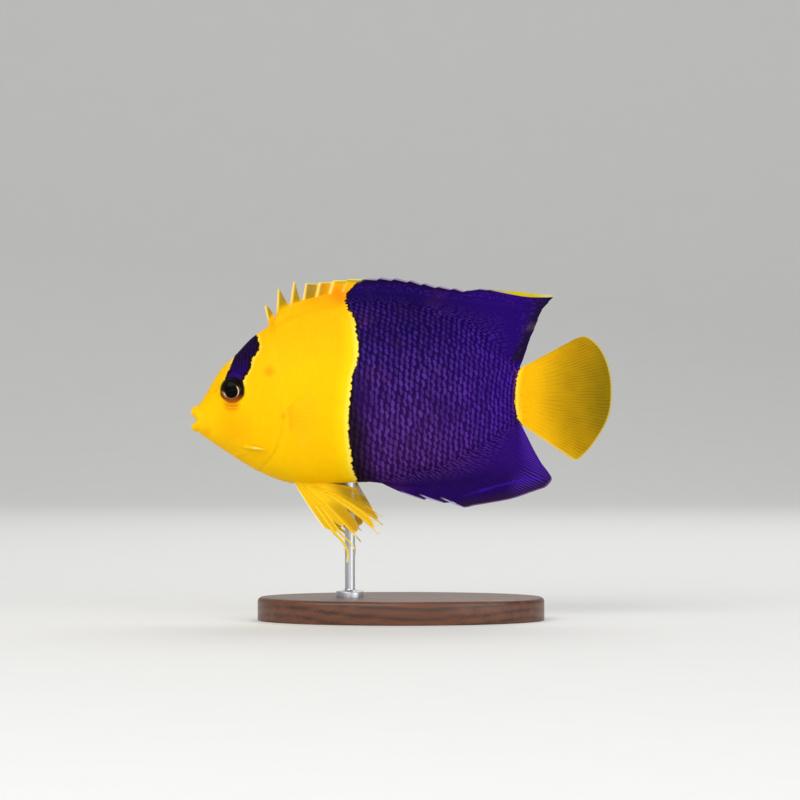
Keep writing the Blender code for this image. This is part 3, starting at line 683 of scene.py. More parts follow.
def make_skin_shape(sizes):
    """The whole trunk as one closed grid, finer on the head, with the head's relief raised on it."""
    bm = bmesh.new()
    bmesh.ops.create_uvsphere(bm, u_segments=sizes.skin_around, v_segments=sizes.skin_along, radius=1.0)
    spots = coordinates(bm)
    share = np.arccos(np.clip(spots[:, 2], -1, 1)) / math.pi
    angle = np.arctan2(spots[:, 1], spots[:, 0]) / math.pi
    x = np.interp(share, [0.0, 0.02, 0.43, 0.97, 1.0], [0.9, 0.9, 30.0, 98.0, 98.0])
    cap = np.clip(np.minimum(share / 0.02, (1 - share) / 0.03), 0, 1)
    surface = BodySurface(sizes.scale_depth)
    up, down = surface.flank_ends(x)
    above, below = surface.sheath_heights(x)
    way = up + above - np.abs(angle) * (up + above - down + below)
    body, _ = surface.side(1)(x, way)
    body[:, 1] *= np.sign(angle) * (np.abs(angle) > 1e-6) * (np.abs(angle) < 1 - 1e-6)
    middle = np.stack([x, 0 * x, np.where(x < 50, -5.9, TAIL_ROOT_AT[1])], axis=-1)
    middle[:, 0] = np.where(x < 50, x, tail_root_x(TAIL_ROOT_AT[1]) + 0.1)
    place(bm, world(middle + (body - middle) * cap[:, None]))
    return finished(bm, "skin")


def lip_route(front, points):
    """A lip's line round the muzzle and its radii, thick at the front and thin at the corners."""
    turn = np.linspace(-math.pi / 2, math.pi / 2, points)
    ahead = np.clip(np.cos(turn), 0, 1)
    x = MOUTH_CORNER[0] + (front[0] - MOUTH_CORNER[0]) * ahead
    z = MOUTH_CORNER[2] + (front[1] - MOUTH_CORNER[2]) * ahead ** 0.8
    return np.stack([x, MOUTH_CORNER[1] * 0.8 * np.sin(turn), z], axis=-1), 0.7 + (front[2] - 0.7) * ahead


def soften(item, near, radius, rounds):
    """Rounds off the creases of a piece within a distance of a point."""
    centre = Vector(world(near))
    with Reshaped(item.data) as bm:
        close = [v for v in bm.verts if (v.co - centre).length < radius * MM]
        for _ in range(rounds):
            bmesh.ops.smooth_vert(bm, verts=close, factor=0.5, use_axis_x=True, use_axis_y=True, use_axis_z=True)


def build_skin():
    sizes = settings().body
    skin = make_skin_shape(sizes)
    boolean(skin, prism("gape", GAPE, 20.0), "DIFFERENCE")
    boolean(skin, ball("hollow", *MOUTH_HOLLOW), "DIFFERENCE")
    for front in (UPPER_LIP_FRONT, LOWER_LIP_FRONT):
        boolean(skin, tube("lip", *lip_route(front, 33), around=20), "UNION")
    soften(skin, *LIP_CREASES)
    eye = settings().eye
    for side, _ in SIDES:
        radii = [size / MM + gap for size, gap in zip((eye.radius, eye.half_depth, eye.radius), SOCKET_GAPS)]
        boolean(skin, ball("socket", eye_centre(side), radii, 96, 48, side * EYE_YAW), "DIFFERENCE")
    with Reshaped(skin.data) as bm:
        bmesh.ops.remove_doubles(bm, verts=bm.verts, dist=DOUBLES_OF_CUTS)
    skin.data.shade_smooth()
    skin.data.set_sharp_from_angle(angle=SKIN_CREASE)
    settle(
        skin, skin_finish(), "yellow_skin", "head", "left_gill_cover", "right_gill_cover", "trunk", "tail_stem",
    )


def build_cheek_spines():
    """The long spine at the lower corner of each cheek plate, with a painted highlight on its middle."""
    finish = Finish("cheek_spine", Specular_IOR_Level=0.12)
    where = finish.object_place()
    x, _, _ = finish.fish_place(where)
    streaks = finish.noise(where, 900.0, 3.0, stretch=(0.3, 1.0, 1.0))
    colour = finish.layers(
        linear((254, 198, 2)),
        # Painted highlight: a pale cream patch on the middle of the spine.
        (finish.between(x, 19.2, 21.8, 1.0) * 0.6, (252, 232, 130)),
        (streaks * 0.35, (255, 208, 24)),
    )
    finish.set(Base_Color=colour, Roughness=0.3 + streaks * 0.2, Normal=finish.bump(streaks, 50, 0.4))
    shares = np.linspace(0, 1, 17)
    radii = along([(radius,) for radius in CHEEK_SPINE_RADII], shares)[:, 0]
    for side, label in SIDES:
        route = [(x, side * (float(flank(x, z)) + off), z) for x, z, off in CHEEK_SPINE_ROUTE]
        spine = tube(label + "_cheek_spine", along(route, shares), radii, around=16)
        settle(spine, finish.material, "yellow_skin")


# ---------------------------------------------------------------- eyes


def eye_centre(side):
    x, z = EYE_AT
    return np.array((x, side * (float(flank(x, z)) - settings().eye.sunk / MM), z))


def eye_finish():
    """A dark pupil in a pale ring, an olive and brown iris, and a wet clear coat."""
    finish = Finish("eye_gloss", Coat_Weight=0.08, Coat_Roughness=0.03, Specular_IOR_Level=0.03)
    u, v = finish.chart("eye_face")
    across, up = u * 2.0 - 1.0, v * 2.0 - 1.0
    px, py = across + 0.08, up + 0.18
    away = (px ** 2.0 + py ** 2.0) ** 0.5
    turn = finish.math("ARCTAN2", py, px)
    rays = finish.ripple(turn * 64.0)
    rings = finish.ripple(away * 46.0)
    glow = finish.step(away, 0.62, 0.72) * finish.step(px, -0.2, -0.5) * finish.step(py, 0.1, -0.15)
    iris = finish.layers(
        linear((34, 18, 6)),
        (finish.step(px, -0.1, 0.6), (92, 64, 6)),
        (finish.step(py + px * 0.6, 0.55, 0.9) + finish.step(py - px * 1.2, 0.3, 0.6), (12, 12, 9)),
        (finish.step(py, -0.25, -0.75), (122, 52, 4)),
        (rings * 0.4 + rays * 0.1, (22, 12, 5)),
        (finish.step(away, 0.92, 1.05) * finish.step(py, 0.1, -0.5), (190, 104, 6)),
        (glow * 0.75, (216, 140, 40)),
    )
    ring_colour = finish.layers(linear((228, 200, 170)), (finish.step(py, -0.2, -0.55), (190, 128, 100)))
    width = 0.045 - finish.step(py, -0.1, -0.5) * 0.014 + finish.step(px, -0.3, -0.6) * 0.02
    ring = finish.step(abs(away - 0.62) / width, 1.3, 0.7) * finish.step(py - px * 0.5, 0.3, 0.0)
    iris = finish.mix(ring, iris, ring_colour)
    colour = finish.mix(finish.step(away, 0.58, 0.555), iris, linear((1, 1, 2)))
    return finish.set(
        Base_Color=colour, Roughness=0.24 + rings * 0.1, Normal=finish.bump(rings * 0.5 + rays * 0.2, 30, 0.3)
    )


def build_eyes():
    eye = settings().eye
    finish = eye_finish()
    for side, label in SIDES:
        centre = eye_centre(side)
        radii = [eye.radius / MM, eye.half_depth / MM, eye.radius / MM]
        item = ball(label + "_eyeball", centre, radii, 96, 64, side * EYE_YAW)
        chart = item.data.uv_layers.new(name="eye_face")
        spots = np.array([v.co for v in item.data.vertices]) / MM
        away = spots - (world(centre) / MM)
        flat = np.stack([away[:, 0] / radii[0], away[:, 2] / radii[2]], axis=-1) * 0.5 + 0.5
        write_chart(item.data, chart, flat)
        settle(item, finish, "eye", label + "_eye")


def write_chart(mesh, chart, per_vertex):
    corners = np.zeros(len(mesh.loops), np.int32)
    mesh.loops.foreach_get("vertex_index", corners)
    chart.data.foreach_set("uv", per_vertex[corners].astype(np.float32).ravel())


# ---------------------------------------------------------------- fins


# Where, between two rays, the fin's margin slopes from one tip to the next: its start and its length.
SLOPE_START, SLOPE_LENGTH = 0.12, 0.76
# How far the two branches of a split ray lie from its middle at the margin, as a share of the gap.
BRANCH = 0.22
# How blunt the two ends of a fin's fillet are.
FILLET_ENDS = 0.42


class FinForm:
    """A fin between rays, which run from root to tip and may bow. Position by ray number and share.

    Each ray is (root, tip, bow). web is the thickness of the sheet at its root, and bar the radius of
    a ray at its root and at its tip.
    """

    def __init__(self, rays, cuts, web, bar, fillet, branching=False, smooth=True, falls=None, bend=0.85):
        self.root, self.tip, self.bow = (np.array([r[k] for r in rays], float) for k in range(3))
        self.cuts = np.array(cuts, float)
        self.falls = np.zeros(len(rays)) if falls is None else np.array(falls, float)
        self.web, self.bar = web, bar
        self.fillet = fillet
        self.branching, self.smooth, self.bend = branching, smooth, bend
        self.last = len(rays) - 1
        self.length = np.linalg.norm(self.tip - self.root, axis=1)

    def crosswise(self, values, i, f):
        """Values given per ray, between rays i and i + 1: as a smooth line, or a straight one."""
        if not self.smooth:
            return values[i] + (values[i + 1] - values[i]) * f
        slopes = np.gradient(values, axis=0)
        near = (1 + 2 * f) * (1 - f) ** 2 * values[i] + f * (1 - f) ** 2 * slopes[i]
        return near + f * f * (3 - 2 * f) * values[i + 1] + f * f * (f - 1) * slopes[i + 1]

    def middle(self, ray, share):
        ray, share = np.broadcast_arrays(np.asarray(ray, float), np.asarray(share, float))
        i = np.clip(np.floor(ray).astype(int), 0, self.last - 1)
        f = (ray - i)[..., None]
        s = share[..., None]
        root, tip, bow = (self.crosswise(values, i, f) for values in (self.root, self.tip, self.bow))
        return root + (tip - root) * s + bow * np.sin(math.pi * s)

    def reach(self, ray):
        """How far out the margin lies, as a share. Cuts and falls take the web back before and after a ray."""
        i = np.clip(np.floor(ray + 1e-9).astype(int), 0, self.last - 1)
        f = np.clip(ray - i, 0, 1)
        slope = np.clip((f - SLOPE_START) / SLOPE_LENGTH, 0, 1)
        cut = self.falls[i] * (1 - slope) + self.cuts[i + 1] * slope ** self.bend
        return np.where((f < 1e-6) | (f > 1 - 1e-6), 1.0, 1 - cut)

    def thickness(self, ray, share, smooth=False):
        """The sheet's thickness, with its rays as ridges unless smooth, and a fillet down to the body."""
        i = np.clip(np.floor(ray).astype(int), 0, self.last - 1)
        f = ray - i
        gap = np.linalg.norm(self.middle(i + 1.0, share) - self.middle(i + 0.0, share), axis=-1)
        near = np.minimum(f, 1 - f)
        split = BRANCH * eased(share, 0.4, 0.95) if self.branching else 0.0
        away = np.abs(near - split) * gap
        radius = self.bar[0] + (self.bar[1] - self.bar[0]) * share
        ridge = np.sqrt(np.clip(1 - (away / radius) ** 2, 0, 1)) * 2 * radius
        thick = self.web * (1 - 0.4 * share) + (self.web if smooth else np.maximum(ridge - self.web, 0))
        depth, half, fade, level = self.fillet
        rise = np.maximum(share * np.interp(ray, np.arange(self.last + 1), self.length) - depth, level)
        ends = np.clip(1 - (2 * ray / self.last - 1) ** 2, 0.02, 1) ** FILLET_ENDS
        return thick + 2 * half * np.exp(-fade * rise) * ends

    def side_of(self, ray, share):
        """Unit vectors across the fin."""
        step = 0.01
        a = self.middle(np.minimum(ray + step, self.last), share) - self.middle(np.maximum(ray - step, 0), share)
        b = self.middle(ray, share + step) - self.middle(ray, share - step)
        across = np.cross(a, b)
        return across / np.maximum(np.linalg.norm(across, axis=-1, keepdims=True), 1e-9)


def fin_sheet(name, form, between=7, rows=36):
    """The fin as one closed sheet: a grid laid on its form, given the form's thickness."""
    cross = np.concatenate([[0.0], np.linspace(0.1, 0.9, between)])
    columns = np.append((np.arange(form.last)[:, None] + cross).ravel(), form.last)
    bm = bmesh.new()
    bmesh.ops.create_grid(bm, x_segments=len(columns) - 1, y_segments=rows, size=0.5)
    flat = coordinates(bm)
    column = np.rint((flat[:, 0] + 0.5) * (len(columns) - 1)).astype(int)
    ray = columns[column]
    share = np.clip(flat[:, 1] + 0.5, 0, 1) ** ROWS_TO_ROOT * form.reach(ray)
    thick = form.thickness(ray, share)
    place(bm, world(form.middle(ray, share)))
    most = float(thick.max())
    weight = bm.verts.layers.deform.verify()
    for vert, size in zip(bm.verts, thick):
        vert[weight][0] = float(size) / most
    chart, margin = (bm.loops.layers.uv.new(label) for label in ("fin_rays", "fin_margin"))
    ahead = (form.reach(ray) - share) * np.interp(ray, np.arange(form.last + 1), form.length)
    for face in bm.faces:
        for loop in face.loops:
            k = loop.vert.index
            loop[chart].uv = (ray[k] / form.last, share[k])
            loop[margin].uv = (ahead[k] / MARGIN_SPAN, share[k])
    mesh = bpy.data.meshes.new(name)
    bm.to_mesh(mesh)
    bm.free()
    item = linked(name, mesh)
    item.vertex_groups.new(name="thickness")
    wall = item.modifiers.new("wall", "SOLIDIFY")
    wall.thickness = most * MM
    wall.offset = 0.0
    wall.use_even_offset = False
    wall.vertex_group = "thickness"
    apply_modifiers(item)
    with Reshaped(item.data) as bm:
        bmesh.ops.recalc_face_normals(bm, faces=bm.faces)
    item.data.shade_smooth()
    item.data.set_sharp_from_angle(angle=FIN_CREASE)
    return item


DORSAL_SPINE_TIPS = [
    (22.4, 28.0), (26.3, 33.1), (31.05, 35.5), (34.7, 35.1), (38.9, 35.3), (43.1, 35.9),
    (47.4, 36.3), (52.2, 36.6), (57.1, 36.8), (61.5, 36.6), (66.3, 36.0), (70.5, 35.1),
    (74.9, 34.2), (79.5, 33.6), (83.4, 33.0),
]
# How far the web is cut back before each ray, as a share of the ray.
DORSAL_WEB_CUTS = [0.0, 0.72, 0.55, 0.5, 0.03]
# How far ahead of even steps the first spines are rooted.
DORSAL_ROOT_SHIFTS = [0.0, 1.6, 1.3, 0.8, 0.5, 0.3]
# x of the first spine's root, of the first soft ray's root and of the last one's.
DORSAL_ROOT_X = (24.4, 71.5, 97.0)
DORSAL_SOFT_MARGIN = [
    (87.0, 33.4), (95.0, 32.9), (103.0, 31.9), (109.2, 31.0), (107.2, 28.9), (105.0, 25.9),
    (104.0, 22.8), (102.3, 19.0), (100.2, 12.9), (98.9, 9.6),
]
ANAL_SPINE_TIPS = [(69.9, -29.9), (75.6, -30.8), (81.9, -32.2)]
ANAL_SPINE_BOWS = [-0.9, -1.0, -0.8]
# The free part of each anal spine, as (x, z).
ANAL_SPINE_LINES = [
    [(57.0, -24.4), (60.0, -25.9), (63.0, -27.3), (66.0, -28.5), (70.2, -29.9)],
    [(67.8, -27.9), (71.2, -29.3), (76.0, -30.8)],
    [(74.0, -28.8), (78.0, -30.5), (82.1, -32.2)],
]
ANAL_ROOT_X = (53.0, 70.0, 96.9)
ANAL_SOFT_MARGIN = [
    (85.5, -31.6), (91.0, -30.7), (97.0, -29.5), (103.0, -27.4), (107.2, -25.7), (108.6, -23.4), (106.4, -20.4),
    (103.3, -15.2), (101.0, -10.6), (99.2, -7.0),
]
TAIL_RAYS = 24
TAIL_ROOT_LEVELS = (8.2, -5.4)
# The part of the tail's margin that its rays reach, as shares of its length.
TAIL_TIPS_SPAN = (0.18, 0.802)
TAIL_MARGIN = [
    (102.0, 11.0), (109.6, 15.0), (114.4, 17.8), (118.6, 19.1), (121.9, 17.0), (124.6, 12.9),
    (126.2, 7.6), (126.6, 2.0), (125.8, -4.5), (122.6, -10.9), (118.4, -16.2), (116.3, -17.9),
    (114.2, -17.9), (110.1, -16.0), (106.4, -12.8), (102.4, -8.6),
]
PELVIC_ROOT = [(31.2, 2.1, -24.6), (35.4, 2.1, -24.9)]
# The tip of each pelvic ray and how far it bows, both as (x, z).
PELVIC_RAYS = [
    ((40.1, -38.0), (0.0, -0.5)), ((43.0, -39.2), (0.2, 0.2)), ((45.4, -40.0), (0.4, 0.4)),
    ((49.6, -40.6), (0.4, 0.5)), ((55.0, -38.3), (0.6, 1.0)), ((56.3, -37.2), (0.6, 1.2)),
    ((53.0, -32.6), (0.3, 0.8)), ((50.0, -26.4), (0.0, 0.6)),
]
PELVIC_CUTS = [0.0, 0.0, 0.06, 0.2, 0.42, 0.1, 0.02, 0.0]
PELVIC_FALLS = [0.0, 0.0, 0.26, 0.05, 0.0, 0.1, 0.0, 0.0]
# The rays that stand out as round bars: ray, radius, the share at which the bar starts, and the points
# of a free end beyond the ray's tip, as (x, z).
PELVIC_FILAMENTS = [
    (1, 0.5, 0.5, [(45.6, -41.9), (46.8, -43.7), (47.4, -45.2), (47.5, -46.7), (47.2, -48.5)]),
    (2, 0.4, 0.5, [(47.9, -42.3), (49.5, -44.4)]),
    (3, 0.34, 0.45, [(50.1, -41.1)]),
    (4, 0.4, 0.35, [(56.6, -39.9)]),
    (5, 0.26, 0.5, [(56.7, -37.5)]),
]
PECTORAL_ROOT = [(29.5, -2.4), (30.1, -7.6)]
PECTORAL_LENGTH = 18.5
# The length of a pectoral ray as a share of PECTORAL_LENGTH, by its place across the fin.
PECTORAL_RAY_LENGTHS = [(0.0, 0.84), (0.25, 0.95), (0.5, 0.92), (0.75, 0.8), (1.0, 0.67)]
PECTORAL_RAYS = 13
PECTORAL_SPREAD = math.radians(58.0)
PELVIC_LEAN = math.radians(13.0)
# How far the right pelvic fin is swung back, so that it shows behind the left one.
PELVIC_TURN = math.radians(5.0)
DORSAL_SOFT_RAYS = 16
ANAL_SOFT_RAYS = 17
DORSAL_GAPS = len(DORSAL_SPINE_TIPS) + DORSAL_SOFT_RAYS - 1
ANAL_GAPS = len(ANAL_SPINE_TIPS) + ANAL_SOFT_RAYS - 1
ROOT_DEPTH = 3.2
# How a fin widens down to the body: how deep its root sits, the half width there, how fast it thins
# with the distance from the body, and the distance within which it stays as wide.
NO_DISTANCE = -9.0
BODY_FILLET = (ROOT_DEPTH, 0.1, 0.3, NO_DISTANCE)
TAIL_FILLET = (1.6, 2.45, 0.4, 0.6)
PELVIC_FILLET = (1.0, 0.35, 0.5, NO_DISTANCE)
PECTORAL_FILLET = (0.9, 0.16, 0.7, NO_DISTANCE)
# The second number of a round bar's UV maps, by which a finish knows it from the fin.
THREAD_SHARE = 2.0


def seated(line, x, way):
    """The root of a ray, sunk into the back (way 1) or up into the belly (way -1)."""
    return x, 0, float(through(line, x)) - way * ROOT_DEPTH


def soft_rays(margin, count, first, last, line, way, bow):
    """Rays that reach a margin, with roots at even steps of x."""
    tips = along(margin, np.linspace(0, 1, count))
    roots = [seated(line, first + (last - first) * k / (count - 1), way) for k in range(count)]
    return [(root, (x, 0, z), (0, 0, bow)) for root, (x, z) in zip(roots, tips)]


def dorsal_form():
    first, soft, last = DORSAL_ROOT_X
    rays, cuts = [], []
    for i, (x, z) in enumerate(DORSAL_SPINE_TIPS):
        at = first + (soft - 2.6 - first) * i / (len(DORSAL_SPINE_TIPS) - 1)
        at -= DORSAL_ROOT_SHIFTS[i] if i < len(DORSAL_ROOT_SHIFTS) else 0.0
        rays.append((seated(BACK, at, 1), (x, 0, z), (0, 0, 0)))
        cuts.append(DORSAL_WEB_CUTS[i] if i < len(DORSAL_WEB_CUTS) else 0.04)
    rays += soft_rays(DORSAL_SOFT_MARGIN, DORSAL_SOFT_RAYS, soft, last, BACK, 1, 0.5)
    return FinForm(rays, cuts + [0.012] * DORSAL_SOFT_RAYS, 0.22, (0.42, 0.13), BODY_FILLET)


def anal_form():
    first, soft, last = ANAL_ROOT_X
    rays = []
    for i, (x, z) in enumerate(ANAL_SPINE_TIPS):
        at = first + (soft - 3.4 - first) * i / (len(ANAL_SPINE_TIPS) - 1)
        rays.append((seated(BELLY, at, -1), (x, 0, z), (0, 0, ANAL_SPINE_BOWS[i])))
    rays += soft_rays(ANAL_SOFT_MARGIN, ANAL_SOFT_RAYS, soft, last, BELLY, -1, -0.4)
    cuts = [0.0, 0.2, 0.16] + [0.0] * ANAL_SOFT_RAYS
    return FinForm(rays, cuts, 0.22, (0.42, 0.12), BODY_FILLET, branching=True)


def tail_form():
    rays = []
    for k in range(TAIL_RAYS + 1):
        share = k / TAIL_RAYS
        z = TAIL_ROOT_LEVELS[0] + (TAIL_ROOT_LEVELS[1] - TAIL_ROOT_LEVELS[0]) * share
        tip = along(TAIL_MARGIN, TAIL_TIPS_SPAN[0] + (TAIL_TIPS_SPAN[1] - TAIL_TIPS_SPAN[0]) * share)
        rays.append(((tail_root_x(z) - TAIL_FILLET[0], 0, z), (tip[0], 0, tip[1]), (0, 0, 0)))
    return FinForm(rays, np.zeros(TAIL_RAYS + 1), 0.24, (0.2, 0.11), TAIL_FILLET, branching=True)


def pelvic_spot(side, turn, x, z):
    """A point of a pelvic fin that is given in the side view, with the fin turned back and leant out."""
    pivot = PELVIC_ROOT[0]
    dx, dz = x - pivot[0], z - pivot[2]
    x = pivot[0] + dx * math.cos(turn) - dz * math.sin(turn)
    z = pivot[2] + dx * math.sin(turn) + dz * math.cos(turn)
    return x, side * (pivot[1] + (pivot[2] - z) * math.tan(PELVIC_LEAN)), z


def pelvic_form(side, turn):
    rays = []
    for i, ((x, z), (bow_x, bow_z)) in enumerate(PELVIC_RAYS):
        root = along(PELVIC_ROOT, i / (len(PELVIC_RAYS) - 1))
        rays.append(((root[0], side * root[1], root[2]), pelvic_spot(side, turn, x, z), (bow_x, 0.0, bow_z)))
    return FinForm(
        rays, PELVIC_CUTS, 0.18, (0.4, 0.09), PELVIC_FILLET,
        branching=True, smooth=False, falls=PELVIC_FALLS, bend=2.5,
    )


def add_threads(sheet, threads):
    """Joins round bars to a fin, given as (place across the fin, points, radii), with the same two UV maps."""
    with Reshaped(sheet.data) as bm:
        rays, margin = (bm.loops.layers.uv[label] for label in ("fin_rays", "fin_margin"))
        for across, points, radii in threads:
            thread = tube("thread", points, radii, 10)
            old = set(bm.faces)
            bm.from_mesh(thread.data)
            tip = world(points[-1])
            for loop in (loop for face in bm.faces if face not in old for loop in face.loops):
                ahead = float(np.linalg.norm(np.array(loop.vert.co) - tip)) / MM
                loop[rays].uv = (across, THREAD_SHARE)
                loop[margin].uv = (ahead / MARGIN_SPAN, THREAD_SHARE)
            bpy.data.objects.remove(thread, do_unlink=True)


def anal_threads():
    threads = []
    for i, line in enumerate(ANAL_SPINE_LINES):
        points = [(x, 0.0, z) for x, z in along(line, np.linspace(0, 1, 20))]
        threads.append((i / ANAL_GAPS, points, np.linspace(0.3, 0.13, 20)))
    return threads


def pelvic_threads(form, side, turn):
    threads = []
    for ray, radius, start, beyond in PELVIC_FILAMENTS:
        points = [form.middle(ray, share) for share in np.linspace(start, 1, 7)]
        points += [pelvic_spot(side, turn, x, z) for x, z in beyond]
        points = along(points, np.linspace(0, 1, 30))
        threads.append((ray / form.last, points, np.linspace(radius, 0.55 * radius, 30)))
    return threads


def pectoral_form(side):
    rays = []
    for share in np.arange(PECTORAL_RAYS + 1) / PECTORAL_RAYS:
        x, z = along(PECTORAL_ROOT, share)
        y = float(flank(x, z)) - PECTORAL_FILLET[0]
        lift = math.radians(20.0 - 62.0 * share)
        length = PECTORAL_LENGTH * float(through(PECTORAL_RAY_LENGTHS, share))
        flat = length * math.cos(lift)
        back, out = flat * math.cos(PECTORAL_SPREAD), flat * math.sin(PECTORAL_SPREAD)
        tip = (x + back, side * (y + out), z + length * math.sin(lift))
        rays.append(((x, side * y, z), tip, (-0.5, side * 0.9, 0.0)))
    return FinForm(rays, [0.03] * (PECTORAL_RAYS + 1), 0.12, (0.2, 0.06), PECTORAL_FILLET, branching=True)


def fin_base(finish):
    """Place, markings and ray chart that every fin's finish starts from."""
    where = finish.object_place()
    x, _, z = finish.fish_place(where)
    grain = finish.grain(where)
    colour, violet = fish_colours(finish, x, z, grain, tail=False)
    ray, share = finish.chart("fin_rays")
    ahead, _ = finish.chart("fin_margin")
    return where, x, z, grain, colour, violet, ray, share, ahead * MARGIN_SPAN


def fin_surface(finish, colour, grain, height, depth=100, rough=0.45, **sockets):
    """The end of a fin's finish: its colour, a grainy sheen and the rays' relief."""
    normal = finish.bump(height, depth, 0.6)
    return finish.set(Base_Color=colour, Roughness=rough + grain * 0.15, Normal=normal, **sockets)


def ray_lines(finish, ray, count, sharp=2.0):
    """1 on each ray and 0 half way between two."""
    wave = finish.math("COSINE", ray * (2 * math.pi * count)) * 0.5 + 0.5
    return wave ** sharp


def on_threads(finish, share):
    """1 on a fin's round bars and 0 on its sheet."""
    return finish.step(share, 1.4, 1.6)


# The lower edge of the yellow stripe along the top of the soft dorsal fin, as (x, z).
DORSAL_STRIPE = [(88.5, 33.3), (92.7, 32.4), (97.0, 31.6), (100.8, 31.0), (104.8, 30.8), (109.2, 30.9)]


def dorsal_finish():
    finish = Finish("dorsal_fin", Specular_IOR_Level=0.04)
    where, x, z, grain, colour, violet, ray, share, ahead = fin_base(finish)
    dots = finish.step(finish.noise(where, 1300.0, 1.0), 0.52, 0.66) * finish.step(ahead, 1.0, 3.0)
    rays, spines = ray_lines(finish, ray, DORSAL_GAPS), ray_lines(finish, ray, DORSAL_GAPS, 7.0)
    fine = ray_lines(finish, ray, 4 * DORSAL_GAPS, 1.0)
    web = (1 - spines) * finish.step(share, 0.4, 0.62) * finish.step(x, 45.0, 35.0)
    bright = spines * finish.step(share, 0.4, 0.65) * finish.step(x, 49.0, 43.0)
    streaks = fine * finish.between(z, 21.0, 23.0, 0.9)
    streaks = streaks * finish.step(behind_dorsal(x, z), -3.0, -1.6) * finish.step(x, 96.0, 99.0)
    colour = finish.layers(
        colour,
        (violet * dots * 0.35, (70, 34, 150)),
        (web * 0.8, (142, 122, 10)),
        (bright * 0.8, (255, 232, 124)),
        (violet * (rays * 0.1 + fine * 0.08) * finish.step(share, 0.5, 0.8), (50, 12, 118)),
        (streaks * 0.3, (136, 112, 124)),
        (finish.step(ahead, 3.4, 0.5) * finish.between(x, 50.0, 92.0, 2.5) * 0.7, (17, 4, 30)),
        (finish.step(ahead, 0.75, 0.4) * finish.between(x, 50.0, 91.0, 3.0) * 0.9, (158, 138, 174)),
    )
    under = finish.curve(x, DORSAL_STRIPE, (86.0, 110.0), (28.0, 35.0))
    stripe = finish.step(z - under, -0.12, 0.12) * finish.step(x, 88.0, 92.0)
    gold = finish.layers(
        linear((200, 180, 10)),
        (finish.step(x, 98.0, 92.0), (172, 158, 120)),
        (finish.step(x, 103.0, 107.5), (200, 192, 130)),
    )
    colour = finish.layers(
        finish.mix(stripe, colour, gold),
        (finish.between(x, 44.0, 51.0, 2.0) * finish.step(ahead, 1.5, 0.5) * 0.85, (168, 160, 24)),
        (finish.between(x, 33.0, 53.0, 2.5) * finish.step(ahead, 0.4, 0.2) * 0.75, (236, 224, 120)),
    )
    clear = 1 - web * finish.step(share, 0.5, 0.9) * 0.3
    return fin_surface(finish, colour, grain, rays * 0.6 + fine * 0.4, 90, Alpha=clear)


# The wavy line over the lower margin of the anal fin, as (x, z).
ANAL_LINE = [(80.0, -28.9), (83.7, -28.2), (90.0, -26.4), (96.9, -24.6), (103.0, -23.6), (110.0, -23.2)]


def anal_finish():
    finish = Finish("anal_fin", Specular_IOR_Level=0.04)
    where, x, z, grain, colour, _, ray, share, ahead = fin_base(finish)
    rays = ray_lines(finish, ray, ANAL_GAPS)
    fine = ray_lines(finish, ray, 4 * ANAL_GAPS, 1.5)
    wavy = (finish.noise(where, 420.0, 2.0) - 0.5) * 1.6
    veins = ray_lines(finish, ray + wavy * 0.006, 52, 2.0)
    streaks = veins * finish.step(share, 0.5, 0.85) * finish.step(x, 94.0, 100.0)
    lower = finish.step(ray, 0.68, 0.6) * finish.step(x, 62.0, 68.0)
    above = z + wavy * 1.3 - finish.curve(x, ANAL_LINE, (80.0, 110.0), (-32.0, -20.0))
    blue = finish.between(above, -0.35, 0.35, 0.3) * finish.step(x, 80.0, 88.0) * finish.step(ahead, 0.8, 1.6)
    brown = finish.step(ahead + wavy * 0.9, 4.4, 1.2) * lower
    spine = on_threads(finish, share)
    colour = finish.layers(
        colour,
        (streaks * 0.7, (92, 52, 186)),
        (blue * 0.6, (56, 18, 160)),
        (brown * 0.7, (44, 22, 34)),
        (finish.step(ahead, 0.65, 0.3) * lower * 0.8, (110, 90, 142)),
        (spine * finish.step(ahead, 8.0, 5.5), (168, 156, 204)),
    )
    return fin_surface(finish, colour, grain, rays * 0.6 + fine * 0.4, 90)


def tail_finish():
    finish = Finish("tail_fin", Specular_IOR_Level=0.05)
    where, x, z, grain, _, _, ray, share, ahead = fin_base(finish)
    arc = tail_arc(x, z)
    ray = ray + (finish.noise(where, 260.0, 2.0) - 0.5) * 0.02
    rays = ray_lines(finish, ray, TAIL_RAYS, 0.6)
    halves = ray_lines(finish, ray + 0.25 / TAIL_RAYS, 2 * TAIL_RAYS, 0.6)
    fine = ray_lines(finish, ray, 5 * TAIL_RAYS, 1.0)
    split = finish.mix(finish.step(share, 0.4, 0.6), rays, halves)
    patchy = finish.noise(where, 210.0, 3.0)
    outer = finish.math("MAXIMUM", finish.step(ray, 0.034, 0.018), finish.step(ray, 0.966, 0.982))
    rim = finish.math("MAXIMUM", finish.step(ahead, 0.6, 0.25) * 0.6, outer * 0.7)
    colour = finish.layers(
        tail_yellow(finish, arc),
        ((1 - split) * finish.step(share, 0.2, 0.65) * finish.step(patchy, 0.2, 0.75) * 0.55, (84, 62, 2)),
        (fine * finish.step(share, 0.9, 0.3) * 0.15, (255, 206, 20)),
        ((grain - 0.4) * finish.step(share, 0.2, 0.5) * 0.5, (190, 130, 4)),
        (rim, (216, 198, 112)),
        (finish.step(arc, 0.5, 0.1) * 0.5, (190, 70, 6)),
    )
    return fin_surface(finish, colour, grain, split * 0.5 + fine * 0.5)


